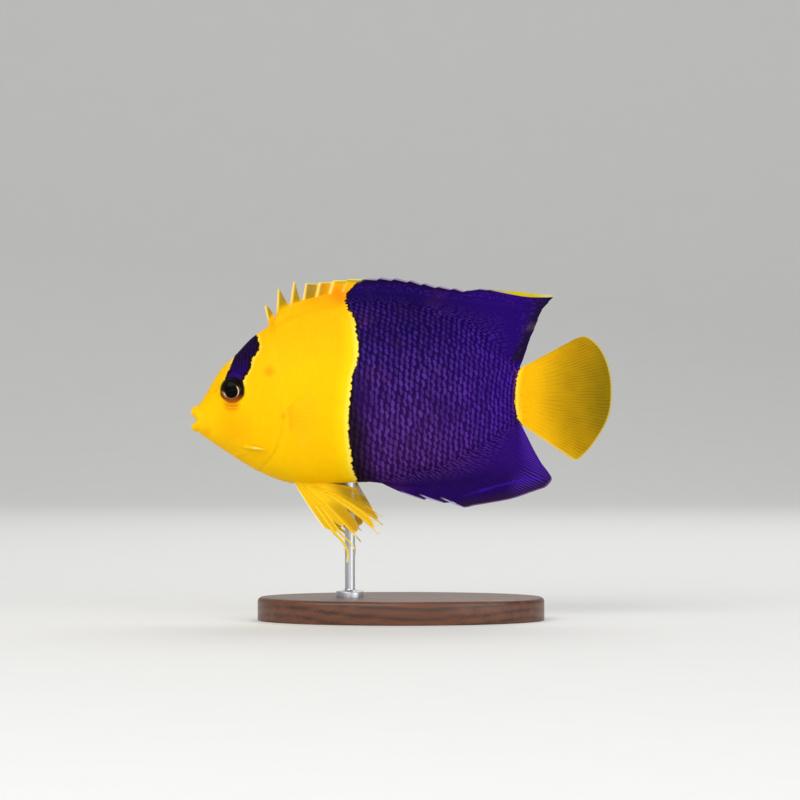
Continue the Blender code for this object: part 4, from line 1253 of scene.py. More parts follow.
def pelvic_finish():
    finish = Finish("pelvic_fin", Specular_IOR_Level=0.05)
    _, _, _, grain, _, _, ray, share, ahead = fin_base(finish)
    rays = ray_lines(finish, ray, len(PELVIC_RAYS) - 1, 3.0)
    fine = ray_lines(finish, ray, 6 * (len(PELVIC_RAYS) - 1), 1.0)
    rear = finish.step(ray, 0.74, 0.86) * finish.step(share, 0.3, 0.7)
    slit = finish.between(ray, 0.44, 0.56, 0.03) * finish.step(share, 0.35, 0.6)
    thread = on_threads(finish, share)
    margin = finish.step(ahead, 0.5, 0.2) * finish.step(ray, 0.74, 0.66)
    tips = finish.step(ahead, 3.4, 0.6) * thread + margin * 0.5
    colour = finish.layers(
        linear((254, 208, 2)),
        (finish.step(share, 0.1, 0.7), (246, 188, 4)),
        ((1 - rays) * 0.3, (214, 152, 4)),
        (fine * 0.25, (255, 230, 70)),
        (rear * 0.6, (132, 104, 2)),
        (slit * 0.5, (150, 104, 2)),
        (thread * 0.6, (240, 206, 40)),
        (tips * 0.7, (246, 234, 176)),
        (finish.step(ray, 0.035, 0.01) * 0.8, (255, 244, 196)),
    )
    clear = 1 - (1 - rays) * finish.step(share, 0.4, 0.9) * finish.step(share, 1.5, 1.3) * (rear * 0.35 + 0.12)
    return fin_surface(finish, colour, grain, rays * 0.5 + fine * 0.5, rough=0.4, Alpha=clear)


def pectoral_finish():
    finish = Finish("pectoral_fin", Specular_IOR_Level=0.2)
    _, _, _, grain, _, _, ray, share, _ = fin_base(finish)
    rays = ray_lines(finish, ray, PECTORAL_RAYS, 4.0)
    colour = finish.mix(rays * 0.5, linear((250, 204, 30)), linear((236, 172, 12)))
    clear = 0.05 + rays * 0.16 * finish.step(share, 1.0, 0.3) + finish.step(share, 0.14, 0.06) * 0.1
    return finish.set(Base_Color=colour, Roughness=0.35 + grain * 0.1, Alpha=clear)


def build_fins():
    for form, name, slot, finish, fine in (
        (dorsal_form(), "dorsal_fin", "violet_fin", dorsal_finish(), 7),
        (anal_form(), "anal_fin", "violet_fin", anal_finish(), 8),
        (tail_form(), "tail_fin", "yellow_fin", tail_finish(), 10),
    ):
        sheet = fin_sheet(name + "_rays", form, fine, 44)
        if name == "anal_fin":
            add_threads(sheet, anal_threads())
        settle(sheet, finish, slot, name)


def build_paired_fins():
    pelvic, pectoral = pelvic_finish(), pectoral_finish()
    for side, label in SIDES:
        turn = PELVIC_TURN if label == "right" else 0.0
        form = pelvic_form(side, turn)
        sheet = fin_sheet(label + "_pelvic_fin_rays", form, 10, 44)
        add_threads(sheet, pelvic_threads(form, side, turn))
        settle(sheet, pelvic, "yellow_fin", label + "_pelvic_fin")
        sheet = fin_sheet(label + "_pectoral_fin_rays", pectoral_form(side), 8, 30)
        settle(sheet, pectoral, "yellow_fin", label + "_pectoral_fin")


# ---------------------------------------------------------------- scales


# How far up its rays each fin is scaled, as (ray, share).
DORSAL_SHEATH = [(0, 0.2), (1, 0.3), (3, 0.42), (5, 0.5), (14, 0.58), (22, 0.72), (30, 0.6)]
ANAL_SHEATH = [(0, 0.3), (3, 0.5), (12, 0.66), (19, 0.55)]
# Where the coat of the tail's root starts, from the roots of its rays, and up to which share of them it runs.
TAIL_COAT_START = 1.8
TAIL_COAT_REACH = 0.24
# The size of each scale's patch in the baked picture, as a share of the picture's width.
BAKE_PATCH = 0.003
# The span of the way over the body that the baked picture takes in.
WAY_SPAN = 110.0
# How far a column of scales leans back per millimetre of the way up.
COLUMN_LEAN = 0.07
# The step between columns by x, the rows' height and how fast it shrinks up and down, and that height's
# share by x: over the flank, the head, and the scaled roots of the fins.
FLANK_LATTICE = (
    [(19.0, 1.35), (34.0, 1.6), (52.0, 1.68), (72.0, 1.62), (86.0, 1.45), (99.5, 1.15)],
    (2.38, 0.0155, 0.006),
    [(19.0, 0.84), (36.0, 0.98), (60.0, 1.0), (80.0, 0.9), (99.0, 0.62)],
)
HEAD_LATTICE = (
    [(4.2, 0.95), (29.0, 1.12)],
    (1.34, 0.004, 0.004),
    [(4.2, 0.72), (14.0, 0.95), (29.0, 1.0)],
)
ROOT_LATTICE = (
    [(20.0, 1.05), (60.0, 1.2), (84.0, 1.05), (99.0, 0.8)],
    (1.3, 0.004, 0.004),
    [(20.0, 1.0), (99.0, 0.8)],
)
# The part of a fin's scaled root that carries scales, before it runs out.
ROOT_COVER = 0.82


class BodySurface:
    """The fish's surface by x and by the way over it from the body's line, up being positive.

    It covers the flank, and runs on over the scaled roots of the dorsal and anal fins.
    """

    def __init__(self, depth):
        self.depth = depth
        self.xs = np.linspace(BACK[0][0], 100.0, 221)
        self.ways = np.linspace(-50.0, 50.0, 401)
        turns = np.linspace(-0.9, math.pi + 0.9, 1081)
        rings = body_point(self.xs[:, None], turns[None, :])
        steps = np.linalg.norm(np.diff(rings[..., 1:], axis=1), axis=-1)
        length = np.concatenate([np.zeros((len(self.xs), 1)), np.cumsum(steps, axis=1)], axis=1)
        line = turn_at(self.xs, np.full(len(self.xs), TAIL_ROOT_AT[1]))
        self.turns = np.empty((len(self.xs), len(self.ways)))
        self.ends = np.empty((len(self.xs), 2))
        for i, (row, here) in enumerate(zip(length, line)):
            way = np.interp(here, turns, row) - row
            self.turns[i] = np.interp(self.ways, way[::-1], turns[::-1])
            self.ends[i] = np.interp(0.0, turns, way), np.interp(math.pi, turns, way)
        self.sheaths = (
            self.sheath(dorsal_form(), BACK, DORSAL_SHEATH, (23.0, 27.0), 1.4),
            self.sheath(anal_form(), BELLY, ANAL_SHEATH, (52.5, 60.0), 1.15),
        )

    def sheath(self, form, edge, shares, start, thick):
        """How high, which way and how thick the flesh runs up a fin, at each x."""
        ray = np.interp(self.xs, form.root[:, 0], np.arange(form.last + 1))
        tip = np.stack([np.interp(ray, np.arange(form.last + 1), form.tip[:, k]) for k in (0, 2)], axis=-1)
        away = tip - np.stack([self.xs, through(edge, self.xs)], axis=-1)
        reach = np.linalg.norm(away, axis=-1)
        high = reach * np.interp(ray, *np.array(shares).T) * eased(self.xs, *start)
        high *= 1 - eased(self.xs, 97.0, 98.2)
        return high, away / reach[:, None], thick

    def turn(self, x, way):
        a = np.clip((x - self.xs[0]) / (self.xs[1] - self.xs[0]), 0, len(self.xs) - 1.001)
        b = np.clip((way - self.ways[0]) / (self.ways[1] - self.ways[0]), 0, len(self.ways) - 1.001)
        i, j = a.astype(int), b.astype(int)
        f, g = a - i, b - j
        low = self.turns[i, j] * (1 - g) + self.turns[i, j + 1] * g
        high = self.turns[i + 1, j] * (1 - g) + self.turns[i + 1, j + 1] * g
        return low * (1 - f) + high * f

    def flank_ends(self, x):
        return np.interp(x, self.xs, self.ends[:, 0]), np.interp(x, self.xs, self.ends[:, 1])

    def sheath_heights(self, x):
        return tuple(np.interp(x, self.xs, high) for high, _, _ in self.sheaths)

    def spot(self, x, way):
        """Points of the right side."""
        x, way = np.broadcast_arrays(np.asarray(x, float), np.asarray(way, float))
        up, down = self.flank_ends(x)
        base = body_point(x, self.turn(x, np.clip(way, down, up)), -self.depth)
        across = np.maximum(base[..., 1], 0) ** 3
        moved = base.copy()
        edges = (through(BACK, x) - self.depth, through(BELLY, x) + self.depth)
        for (high, lean, thick), beyond, rise in zip(
            self.sheaths, (way - up, down - way), (base[..., 2] - edges[0], edges[1] - base[..., 2])
        ):
            top = np.interp(x, self.xs, high)
            out = np.clip(beyond, 0, top)
            rise = np.where(beyond > 0, out, np.minimum(rise, 0))
            close = (1 - np.clip(out / np.maximum(top, 1e-6), 0, 1) ** 3) * (1 - 0.75 * eased(x, 90.0, 98.0))
            near = eased(rise, -9.0, -2.0) * eased(top, 0.0, 1.5)
            half = (0.36 + thick * np.exp(-0.32 * np.maximum(rise, -1.6))) * near * close
            across = across + half ** 3
            moved[..., 0] += np.interp(x, self.xs, lean[:, 0]) * out
            moved[..., 2] += np.interp(x, self.xs, lean[:, 1]) * out
        moved[..., 1] = np.cbrt(across)
        bulge = np.clip((x - 86.0) / 12.0, 0, 1)
        moved[..., 0] += bulge * (tail_root_x(np.clip(moved[..., 2], -6.2, 9.0)) + 0.1 - 98.0)
        return moved

    def side(self, side):
        """Points of one side, with the relief of the head raised on them, and their outward vectors."""

        def at(x, way):
            spot = self.spot(x, way)
            run = self.spot(x + 0.1, way) - self.spot(x - 0.1, way)
            climb = self.spot(x, way + 0.1) - self.spot(x, way - 0.1)
            out = np.cross(climb, run)
            out /= np.maximum(np.linalg.norm(out, axis=-1, keepdims=True), 1e-9)
            raised = head_relief(spot[..., 0], spot[..., 2]) * eased(np.abs(spot[..., 1]), 0.4, 1.6)
            spot = spot + out * raised[..., None]
            flip = np.array((1, side, 1))
            return spot * flip, out * flip

        return at


def scale_template(cells):
    """One scale as a closed shield: its points as (along, across, top), and its faces."""
    bm = bmesh.new()
    bmesh.ops.create_grid(bm, x_segments=cells, y_segments=cells, size=1.0)
    rim = [e for e in bm.edges if e.is_boundary]
    draw_out(bm, bmesh.ops.extrude_edge_only(bm, edges=rim), (0, 0, -1))
    bmesh.ops.contextual_create(bm, geom=[e for e in bm.edges if e.is_boundary])
    bmesh.ops.recalc_face_normals(bm, faces=bm.faces)
    bm.verts.ensure_lookup_table()
    spots = coordinates(bm)
    faces = [[v.index for v in f.verts] for f in bm.faces]
    bm.free()
    u, v = spots[:, 0].copy(), spots[:, 1].copy()
    spots[:, 0] = u * np.sqrt(1 - v * v / 2)
    spots[:, 1] = v * np.sqrt(1 - u * u / 2)
    spots[:, 2] += 1
    return spots, faces


def scale_heights(u, v, top):
    """How high a scale's points stand: sunk at its root, raised at its free edge and lower at its sides."""
    rise = -0.32 + 0.66 * (u + 1) - 0.16 * v * v - 0.18 * u ** 4
    return np.where(top > 0.5, rise, np.minimum(rise - 0.42, -0.45))


def repeated(name, spots, faces):
    """Many pieces with the same faces as one mesh, given the points of each."""
    count, size = spots.shape[:2]
    loops = np.concatenate([np.array(f) for f in faces])
    corners = (loops[None, :] + size * np.arange(count)[:, None]).ravel()
    sizes = np.tile([len(f) for f in faces], count)
    mesh = bpy.data.meshes.new(name)
    mesh.vertices.add(count * size)
    mesh.loops.add(len(corners))
    mesh.polygons.add(len(sizes))
    mesh.vertices.foreach_set("co", spots.reshape(-1).astype(np.float32))
    mesh.loops.foreach_set("vertex_index", corners.astype(np.int32))
    mesh.polygons.foreach_set("loop_start", (np.cumsum(sizes) - sizes).astype(np.int32))
    mesh.polygons.foreach_set("loop_total", sizes.astype(np.int32))
    mesh.update(calc_edges=True)
    return mesh


def coat(name, surface, p, q, half_p, half_q, lift, bake, cells, plain, stray):
    """Many scales as one mesh. They lie at p, q of a surface, overlapping towards larger p.

    plain says, from 0 to 1, how little a scale's own markings show, and stray how uneven its place is.
    """
    shield, faces = scale_template(cells)
    u, v, top = shield.T
    dice = np.random.default_rng(7 + len(p))
    chance = dice.random((3, len(p)))
    swing = (chance[0][:, None] - 0.5) * 0.12
    reach = half_p[:, None] * (1 + 0.1 * (chance[1][:, None] - 0.5))
    shift = np.random.default_rng(11 + len(p)).normal(0, stray, (2, len(p)))
    p, q = p + shift[0] * half_p, q + shift[1] * half_q
    at_p = p[:, None] + reach * (u + 0.12) + 0 * v
    at_q = q[:, None] + half_q[:, None] * (v + swing * u)
    spot, out = surface(at_p, at_q)
    spots = world(spot + out * (scale_heights(u, v, top) * lift[:, None])[..., None])
    mesh = repeated(name, spots, faces)
    face = np.stack([u, v], axis=-1) * 0.5 + 0.5
    patch = bake[:, None, :] + (face - 0.5) * BAKE_PATCH
    write_chart(mesh, mesh.uv_layers.new(name="OFBake"), patch.reshape(-1, 2))
    write_chart(mesh, mesh.uv_layers.new(name="scale_face"), np.tile(face, (len(p), 1)))
    middle, _ = surface(p, q)
    roots = np.stack([middle[:, 0], chance[2] * 10, middle[:, 2]], axis=-1)
    for label, kind, key, values in (
        ("scale_root", "FLOAT_VECTOR", "vector", roots), ("scale_plain", "FLOAT", "value", plain),
    ):
        kept = mesh.attributes.new(label, kind, "POINT")
        kept.data.foreach_set(key, np.repeat(values, len(shield), axis=0).ravel().astype(np.float32))
    if signed_volume(mesh) < 0:
        mesh.flip_normals()
    mesh.shade_smooth()
    mesh.set_sharp_from_angle(angle=SKIN_CREASE)
    return linked(name, mesh)


def signed_volume(mesh):
    mesh.calc_loop_triangles()
    spots = np.zeros(len(mesh.vertices) * 3)
    mesh.vertices.foreach_get("co", spots)
    faces = np.zeros(len(mesh.loop_triangles) * 3, np.int32)
    mesh.loop_triangles.foreach_get("vertices", faces)
    a, b, c = np.moveaxis(spots.reshape(-1, 3)[faces.reshape(-1, 3)], 1, 0)
    return float(np.einsum("ij,ij->", a, np.cross(b, c)))


def scale_finish():
    """A yellow scale is almost plain. A violet one carries a paler upright bead on its dark ground."""
    finish = Finish("scales", Specular_IOR_Level=0.04)
    where = finish.object_place()
    x, _, z = finish.fish_place(where)
    root = finish.node("Attribute", {"attribute_name": "scale_root"}, output=1)
    root_x, chance, root_z = finish.parts(root)
    plain = finish.node("Attribute", {"attribute_name": "scale_plain"}, output=2)
    grain = finish.grain(where)
    edge = (x + (root_x - x) * 0.3, z + (root_z - z) * 0.3)
    colour, violet = fish_colours(finish, x, z, grain, edge)
    u, v = finish.chart("scale_face")
    u, v = u * 2.0 - 1.0, v * 2.0 - 1.0
    wavy = (finish.noise(where, 1100.0, 3.0, 0.7) - 0.5) * 2.6
    upper = finish.step(root_z, 6.0, 20.0)
    sway = (finish.noise(where, 520.0, 2.0) - 0.5) * 0.8
    bead = ((u - 0.54 + v * 0.14 + sway) / 0.29) ** 2.0 + (v / (1.3 - upper * 0.4)) ** 2.0
    bead = finish.step(bead + wavy, 1.6, 0.0)
    random = chance * 0.1
    behind = behind_line(finish, COLOUR_BORDER, root_x, root_z)
    shaded = finish.step(behind, 8.0, 1.5) * finish.step(root_z, 12.0, 2.0) + finish.step(root_x, 26.0, 20.0)
    drift = finish.noise(where, 70.0, 2.0)
    strength = (0.45 + random * 0.55) * (1 - upper * 0.1) * (1 - shaded * 0.6)
    strength = strength * finish.step(drift, 0.1, 0.5) * (1 - plain)
    rear = finish.step(root_x, 70.0, 96.0)
    lilac = finish.mix(finish.math("MINIMUM", shaded, 1.0), linear((104, 68, 152)), linear((80, 56, 66)))
    pale = finish.mix(0.42 - upper * 0.18 - rear * 0.2 * (1 - upper), finish.tint(colour, 2.3), lilac)
    beaded = finish.mix(bead * strength, finish.tint(colour, 0.66 + plain * 0.34), pale)
    rim = finish.step((u * u + v * v) ** 0.5, 0.78, 1.0)
    even = finish.mix(rim * 0.15, finish.tint(colour, 0.985 + random * 0.03), linear((252, 190, 2)))
    colour = finish.mix(violet, even, beaded)
    lines = finish.ripple(v * 42.0)
    height = lines * finish.step(u, -0.2, 0.9) + finish.noise(where, 3000.0, 2.0) * 0.6
    return finish.set(
        Base_Color=colour, Roughness=0.42 + violet * 0.08 + random * 0.08, Normal=finish.bump(height, 30, 0.5)
    )


def upright_lattice(x_range, pitch, rows, row_scale, way_range):
    """Places of scales in upright columns whose rows are half a step apart from one column to the next.

    rows is the row height at the body's line and how fast it shrinks above and below it.
    """
    x, column, places = x_range[0], 0, []
    while x < x_range[1]:
        high, low = way_range(np.array(x))
        tall = rows[0] * float(through(row_scale, x))
        number = np.arange(-45, 46) + 0.5 * (column % 2)
        crowd = np.where(number > 0, rows[1], rows[2])
        way = tall * np.sign(number) * (np.abs(number) - crowd * number ** 2)
        size = tall * (1 - 2 * crowd * np.abs(number))
        kept = (way < high) & (way > low) & (size > 0.3 * tall)
        step = float(through(pitch, x))
        places += [(x + COLUMN_LEAN * w, w, step, s) for w, s in zip(way[kept], size[kept])]
        x += step
        column += 1
    return np.array(places)


def head_scales(at_x, z):
    """Which places on the head carry a scale, how far it stands out, and how plain it is."""
    to_eye = np.hypot(at_x - EYE_AT[0], z - EYE_AT[1])
    to_mouth = np.hypot(at_x - 2.0, z + 5.9)
    kept = (at_x - line_x(GILL_OPENING, z) < -0.9) & (to_eye > 5.2) & (to_mouth > 5.6 + 0.12 * np.abs(z))
    for (nx, nz), _ in NOSTRILS:
        kept &= np.hypot(at_x - nx, z - nz) > 1.4
    return kept, 0.07 * eased(to_mouth, 5.5, 9.0) + 0.015, np.zeros(len(at_x))


def body_scales(form, x, way, at_x, z):
    """The same behind the gill opening, where scales lie flatter towards the tail and up the fins' roots."""
    kept = (at_x - line_x(GILL_OPENING, z) > 0.75) & (x < 97.6)
    lift = 0.09 + 0.09 * eased(at_x - line_x(COLOUR_BORDER, z), -2.0, 1.5)
    lift *= 1 - 0.35 * eased(at_x, 84.0, 98.0)
    up, down = form.flank_ends(x)
    above, below = form.sheath_heights(x)
    out = np.maximum((way - up) / np.maximum(above, 0.1), (down - way) / np.maximum(below, 0.1))
    lift *= 1 - 0.8 * eased(out, 0.0, 0.8)
    return kept, lift, np.maximum(eased(out, -0.1, 0.8), eased(at_x, 88.0, 97.0) * eased(z, 9.0, 16.0))


def body_coats(finish, depth):
    form = BodySurface(depth)

    def whole_flank(x):
        up, down = form.flank_ends(x)
        return up - 0.5, down + 0.5

    def over_back(x):
        return form.flank_ends(x)[0] + ROOT_COVER * form.sheath_heights(x)[0], form.flank_ends(x)[0] - 0.6

    def over_belly(x):
        return form.flank_ends(x)[1] + 0.6, form.flank_ends(x)[1] - ROOT_COVER * form.sheath_heights(x)[1]

    flank = upright_lattice((19.0, 99.0), *FLANK_LATTICE, whole_flank)
    head = upright_lattice((4.2, 29.0), *HEAD_LATTICE, whole_flank)
    roots = np.concatenate([
        upright_lattice((26.0, 98.4), *ROOT_LATTICE, over_back),
        upright_lattice((57.0, 98.4), *ROOT_LATTICE, over_belly),
    ])
    for side, label in SIDES:
        surface = form.side(side)
        for name, places, cells, stray, slot in (
            ("flank", flank, 4, 0.08, "violet_skin"),
            ("head", head, 3, 0.08, "yellow_skin"),
            ("fin_root", roots, 3, 0.16, "violet_skin"),
        ):
            x, way = places[:, 0], places[:, 1]
            at_x, _, z = surface(x, way)[0].T
            if name == "head":
                kept, lift, plain = head_scales(at_x, z)
            else:
                kept, lift, plain = body_scales(form, x, way, at_x, z)
            if name == "fin_root":
                lift *= 0.6
            x, way, step, size = places[kept].T
            bake = np.stack([0.02 + 0.96 * x / BACK[-1][0], 0.5 + way / WAY_SPAN], axis=-1)
            item = coat(
                f"{label}_{name}_scales", surface, x, way, step * 1.02, size * 0.61, lift[kept], bake, cells,
                plain[kept], stray,
            )
            settle(item, finish, slot)


def tail_root_coat(finish):
    """Small scales that run from the stem up the root of the tail fin, on both of its faces."""
    form = tail_form()
    numbers = np.arange(form.last + 1)
    farthest = float(np.max(form.length * TAIL_COAT_REACH))
    for side, label in SIDES:
        places, dice = [], np.random.default_rng(5)
        height, row = 0.0, 0
        while height < farthest:
            cross = np.linspace(0.02, form.last - 0.02, 1200)
            line = form.middle(cross, height / np.interp(cross, numbers, form.length))
            way = np.concatenate([[0], np.cumsum(np.linalg.norm(np.diff(line, axis=0), axis=1))])
            grown = 1 - 0.4 * height / farthest
            at = np.arange(0.3 * grown + 0.5 * grown * (row % 2), way[-1], grown)
            ray = np.interp(at, way, cross)
            for r, s in zip(ray, height / np.interp(ray, numbers, form.length)):
                if height > TAIL_COAT_START and s < TAIL_COAT_REACH * (0.4 + 0.6 * dice.random()):
                    places.append((s, r, grown))
            height += grown * 0.62
            row += 1
        s, r, grown = np.array(places).T
        long = np.interp(r, numbers, form.length)
        before, after = np.maximum(r - 0.2, 0), np.minimum(r + 0.2, form.last)
        wide = np.linalg.norm(form.middle(after, s) - form.middle(before, s), axis=1) / (after - before)

        def surface(share, ray):
            share, ray = np.broadcast_arrays(share, ray)
            ray = np.clip(ray, 0.0, form.last)
            share = np.clip(share, 0.0, 1.0)
            across = form.side_of(ray, np.clip(share, 0.02, 0.98))
            across = across * np.sign(across[..., 1:2]) * side
            thick = form.thickness(ray, share, smooth=True)
            return form.middle(ray, share) + across * (thick / 2)[..., None], across

        bake = np.stack([0.02 + 0.96 * r / form.last, 0.02 + 0.96 * s], axis=-1)
        lift = 0.08 * (1 - eased(s / TAIL_COAT_REACH, 0.2, 0.95) * 0.95)
        item = coat(
            label + "_tail_root_scales", surface, s, r, grown * 0.62 / long, grown * 0.56 / wide, lift, bake, 3,
            np.zeros(len(s)), 0.08,
        )
        settle(item, finish, "yellow_fin")


def build_scales():
    finish = scale_finish()
    body_coats(finish, settings().body.scale_depth)
    tail_root_coat(finish)


# ---------------------------------------------------------------- stand


BASE_HALF = (43.0, 26.0)
BASE_HEIGHT = 7.0
ROD_X = 48.0
ROD_RADIUS = 1.5
FOOT_RADIUS = 4.2
FOOT_HEIGHT = 1.4
FOOT_EDGE = 0.4
ROD_FLARE = 0.8
ROD_IN_BELLY = 0.9
BASE_CREASE = math.radians(40)
ROD_CREASE = math.radians(35)


def wood_finish():
    """Dark, close-grained wood under a satin varnish."""
    finish = Finish("stand_wood", Coat_Weight=0.35, Coat_Roughness=0.22)
    where = finish.object_place()
    wander = finish.noise(where, 26.0, 2.0)
    x, y, z = finish.parts(where)
    across = ((y + 0.013) ** 2.0 + (z * 1.7 + 0.02) ** 2.0) ** 0.5
    rings = finish.ripple(across * 1500.0 + wander * 9.0 + x * 20.0)
    fibres = finish.noise(where, 700.0, 5.0, stretch=(0.06, 1.0, 1.0))
    pores = finish.step(finish.noise(where, 2600.0, 2.0, stretch=(0.05, 1.0, 1.0)), 0.6, 0.7)
    colour = finish.layers(
        tuple(settings().colours.wood),
        (rings ** 1.6, (62, 30, 14)),
        ((fibres - 0.4) * 1.2, (140, 82, 44)),
        (pores * 0.6, (36, 17, 9)),
    )
    return finish.set(
        Base_Color=colour, Roughness=0.34 + fibres * 0.2 + pores * 0.15,
        Normal=finish.bump(fibres * 0.6 - pores * 0.7, 120, 0.45),
    )


def steel_finish():
    finish = Finish("stand_steel", Metallic=1.0)
    where = finish.object_place()
    drawn = finish.noise(where, 2200.0, 3.0, stretch=(1.0, 1.0, 0.04))
    cloud = finish.noise(where, 160.0, 3.0)
    colour = finish.mix(drawn, linear((176, 178, 182)), linear((214, 215, 218)))
    return finish.set(
        Base_Color=colour, Roughness=0.2 + drawn * 0.18 + cloud * 0.08, Normal=finish.bump(drawn, 30, 0.4)
    )


def build_base():
    """An oval plate with a rounded upper edge and a small chamfer below."""
    stand = settings().stand
    bm = bmesh.new()
    height = BASE_HEIGHT * MM
    bmesh.ops.create_cone(
        bm, cap_ends=True, segments=stand.segments, radius1=1.0, radius2=1.0, depth=height,
        matrix=Matrix.Translation((0, 0, height / 2)),
    )
    bmesh.ops.scale(bm, vec=(BASE_HALF[0] * MM, BASE_HALF[1] * MM, 1), verts=bm.verts)
    caps = [f for f in bm.faces if len(f.verts) > 4]
    top = max(caps, key=lambda f: f.calc_center_median().z)
    bmesh.ops.inset_region(bm, faces=[top], thickness=3.0 * MM, depth=0.0)
    rims = [
        e for e in bm.edges if all(v.co.z > height * 0.9 for v in e.verts) and len(e.link_faces) == 2
        and abs(e.link_faces[0].normal.z - e.link_faces[1].normal.z) > 0.5
    ]
    bmesh.ops.bevel(bm, geom=rims, offset=stand.edge, segments=6, profile=0.5, affect="EDGES", material=-1)
    feet = [e for e in bm.edges if all(v.co.z < 1e-6 for v in e.verts)]
    bmesh.ops.bevel(bm, geom=feet, offset=0.35 * MM, segments=2, profile=0.5, affect="EDGES", material=-1)
    base = finished(bm, "stand_base_wood")
    base.data.set_sharp_from_angle(angle=BASE_CREASE)
    settle(base, wood_finish(), "stand_wood", "stand_base")


def build_rod():
    """The rod with its foot, turned from one profile that is given as (radius, height)."""
    bm = bmesh.new()
    foot, collar = BASE_HEIGHT, BASE_HEIGHT + 0.3 + FOOT_HEIGHT
    under = AXIS_HEIGHT + float(through(BELLY, ROD_X)) + ROD_IN_BELLY
    flare, edge = ROD_RADIUS + ROD_FLARE, FOOT_RADIUS - FOOT_EDGE
    profile = [(0.0, foot), (FOOT_RADIUS, foot)]
    for t in np.linspace(0, math.pi / 2, 6):
        profile.append((edge + FOOT_EDGE * math.cos(t), collar - FOOT_EDGE + FOOT_EDGE * math.sin(t)))
    for t in np.linspace(0, math.pi / 2, 7):
        profile.append((flare - ROD_FLARE * math.sin(t), collar + ROD_FLARE - ROD_FLARE * math.cos(t)))
    profile += [(ROD_RADIUS, under), (0.0, under)]
    verts, edges = profile_edges(bm, [(r * MM, 0, z * MM) for r, z in profile])
    bmesh.ops.spin(
        bm, geom=verts + edges, cent=(0, 0, 0), axis=(0, 0, 1), angle=2 * math.pi, steps=64, use_merge=True
    )
    bmesh.ops.remove_doubles(bm, verts=bm.verts, dist=DOUBLES_OF_CUTS)
    bmesh.ops.translate(bm, verts=bm.verts, vec=((ROD_X - TOTAL_LENGTH / 2) * MM, 0, 0))
    rod = finished(bm, "stand_rod_steel")
    rod.data.set_sharp_from_angle(angle=ROD_CREASE)
    settle(rod, steel_finish(), "stand_steel", "stand_rod")


def build_stand():
    build_base()
    build_rod()


# ---------------------------------------------------------------- stage


# The floor runs up into a backdrop: its half width, where its bend starts and how wide that is, and
# the backdrop's height, in metres.
FLOOR_HALF = 3.0
BEND_START = 1.1
BEND_RADIUS = 0.7
WALL_TOP = 3.2
# How far ahead of the frame's middle the camera stands, so that the fish lies as in its side view.
CAMERA_OFFSET = 0.0003
CAMERA_LENS = 150.0
SENSOR_WIDTH = 36.0


def area_light(name, place_at, aim, size, power):
    light = bpy.data.lights.new(name, "AREA")
    light.shape = "RECTANGLE"
    light.size, light.size_y = size
    light.energy = power
    item = linked(name, light)
    item.location = place_at
    item.rotation_euler = (Vector(aim) - Vector(place_at)).to_track_quat("-Z", "Y").to_euler()


def build_stage():
    stage = settings().stage
    bm = bmesh.new()
    profile = [(-FLOOR_HALF, 0.0), (BEND_START, 0.0)]
    for t in np.linspace(0.1, math.pi / 2, 18):
        profile.append((BEND_START + BEND_RADIUS * math.sin(t), BEND_RADIUS - BEND_RADIUS * math.cos(t)))
    profile.append((BEND_START + BEND_RADIUS, WALL_TOP))
    _, edges = profile_edges(bm, [(-FLOOR_HALF, y, z) for y, z in profile])
    draw_out(bm, bmesh.ops.extrude_edge_only(bm, edges=edges), (2 * FLOOR_HALF, 0, 0))
    floor = finished(bm, "studio_floor")
    finish = Finish("studio_paper", Specular_IOR_Level=0.2)
    where = finish.object_place()
    tooth = finish.noise(where, 60.0, 3.0)
    pale = tuple(stage.paper)
    colour = finish.mix(tooth, pale, tuple(c * 0.97 for c in pale))
    finish.set(Base_Color=colour, Roughness=0.8 + tooth * 0.1)
    dress(floor, finish.material)

    middle = (0.0, 0.0, AXIS_HEIGHT * MM)
    area_light("key_light", (-0.45, -0.8, 0.75), middle, (0.9, 0.7), stage.key_power)
    area_light("fill_light", (0.75, -0.75, 0.3), middle, (0.8, 0.8), stage.fill_power)
    area_light("rear_light", (0.2, 0.7, 0.85), middle, (0.9, 0.6), stage.rear_power)
    area_light("low_light", (-0.1, -1.1, 0.03), middle, (0.9, 0.3), stage.low_power)
    world_light = bpy.data.worlds.new("studio_air")
    world_light.use_nodes = True
    air = world_light.node_tree.nodes["Background"]
    air.inputs["Color"].default_value = (1.0, 1.0, 1.0, 1.0)
    air.inputs["Strength"].default_value = stage.air
    bpy.context.scene.world = world_light
    bpy.context.scene.view_settings.view_transform = "Standard"

    camera = bpy.data.cameras.new("camera")
    camera.lens = CAMERA_LENS
    camera.sensor_width = SENSOR_WIDTH
    camera.clip_start = 0.01
    item = linked("camera", camera)
    item.location = (-CAMERA_OFFSET, -stage.camera_distance, AXIS_HEIGHT * MM)
    item.rotation_euler = (math.pi / 2, 0, 0)
    bpy.context.scene.camera = item


# ---------------------------------------------------------------- add-on


def size(name, description, value):
    return FloatProperty(name=name, description=description, default=value, min=0.0, unit="LENGTH", precision=5)


def power(name, description, value):
    return FloatProperty(name=name, description=description, default=value, unit="POWER")


def count(name, description, value, low):
    return IntProperty(name=name, description=description, default=value, min=low)


def colour(name, description, display):
    return FloatVectorProperty(
        name=name, description=description, default=linear(display), subtype="COLOR", size=3, min=0.0, max=1.0
    )


class AngelfishBody(bpy.types.PropertyGroup):
    scale_depth: FloatProperty(
        name="Scale depth", description="How far the skin lies under the solids, in millimetres",
        default=0.14, min=0.0,
    )
    skin_around: count("Skin columns", "Points around the body", 288, 32)
    skin_along: count("Skin rows", "Points along the body", 240, 32)


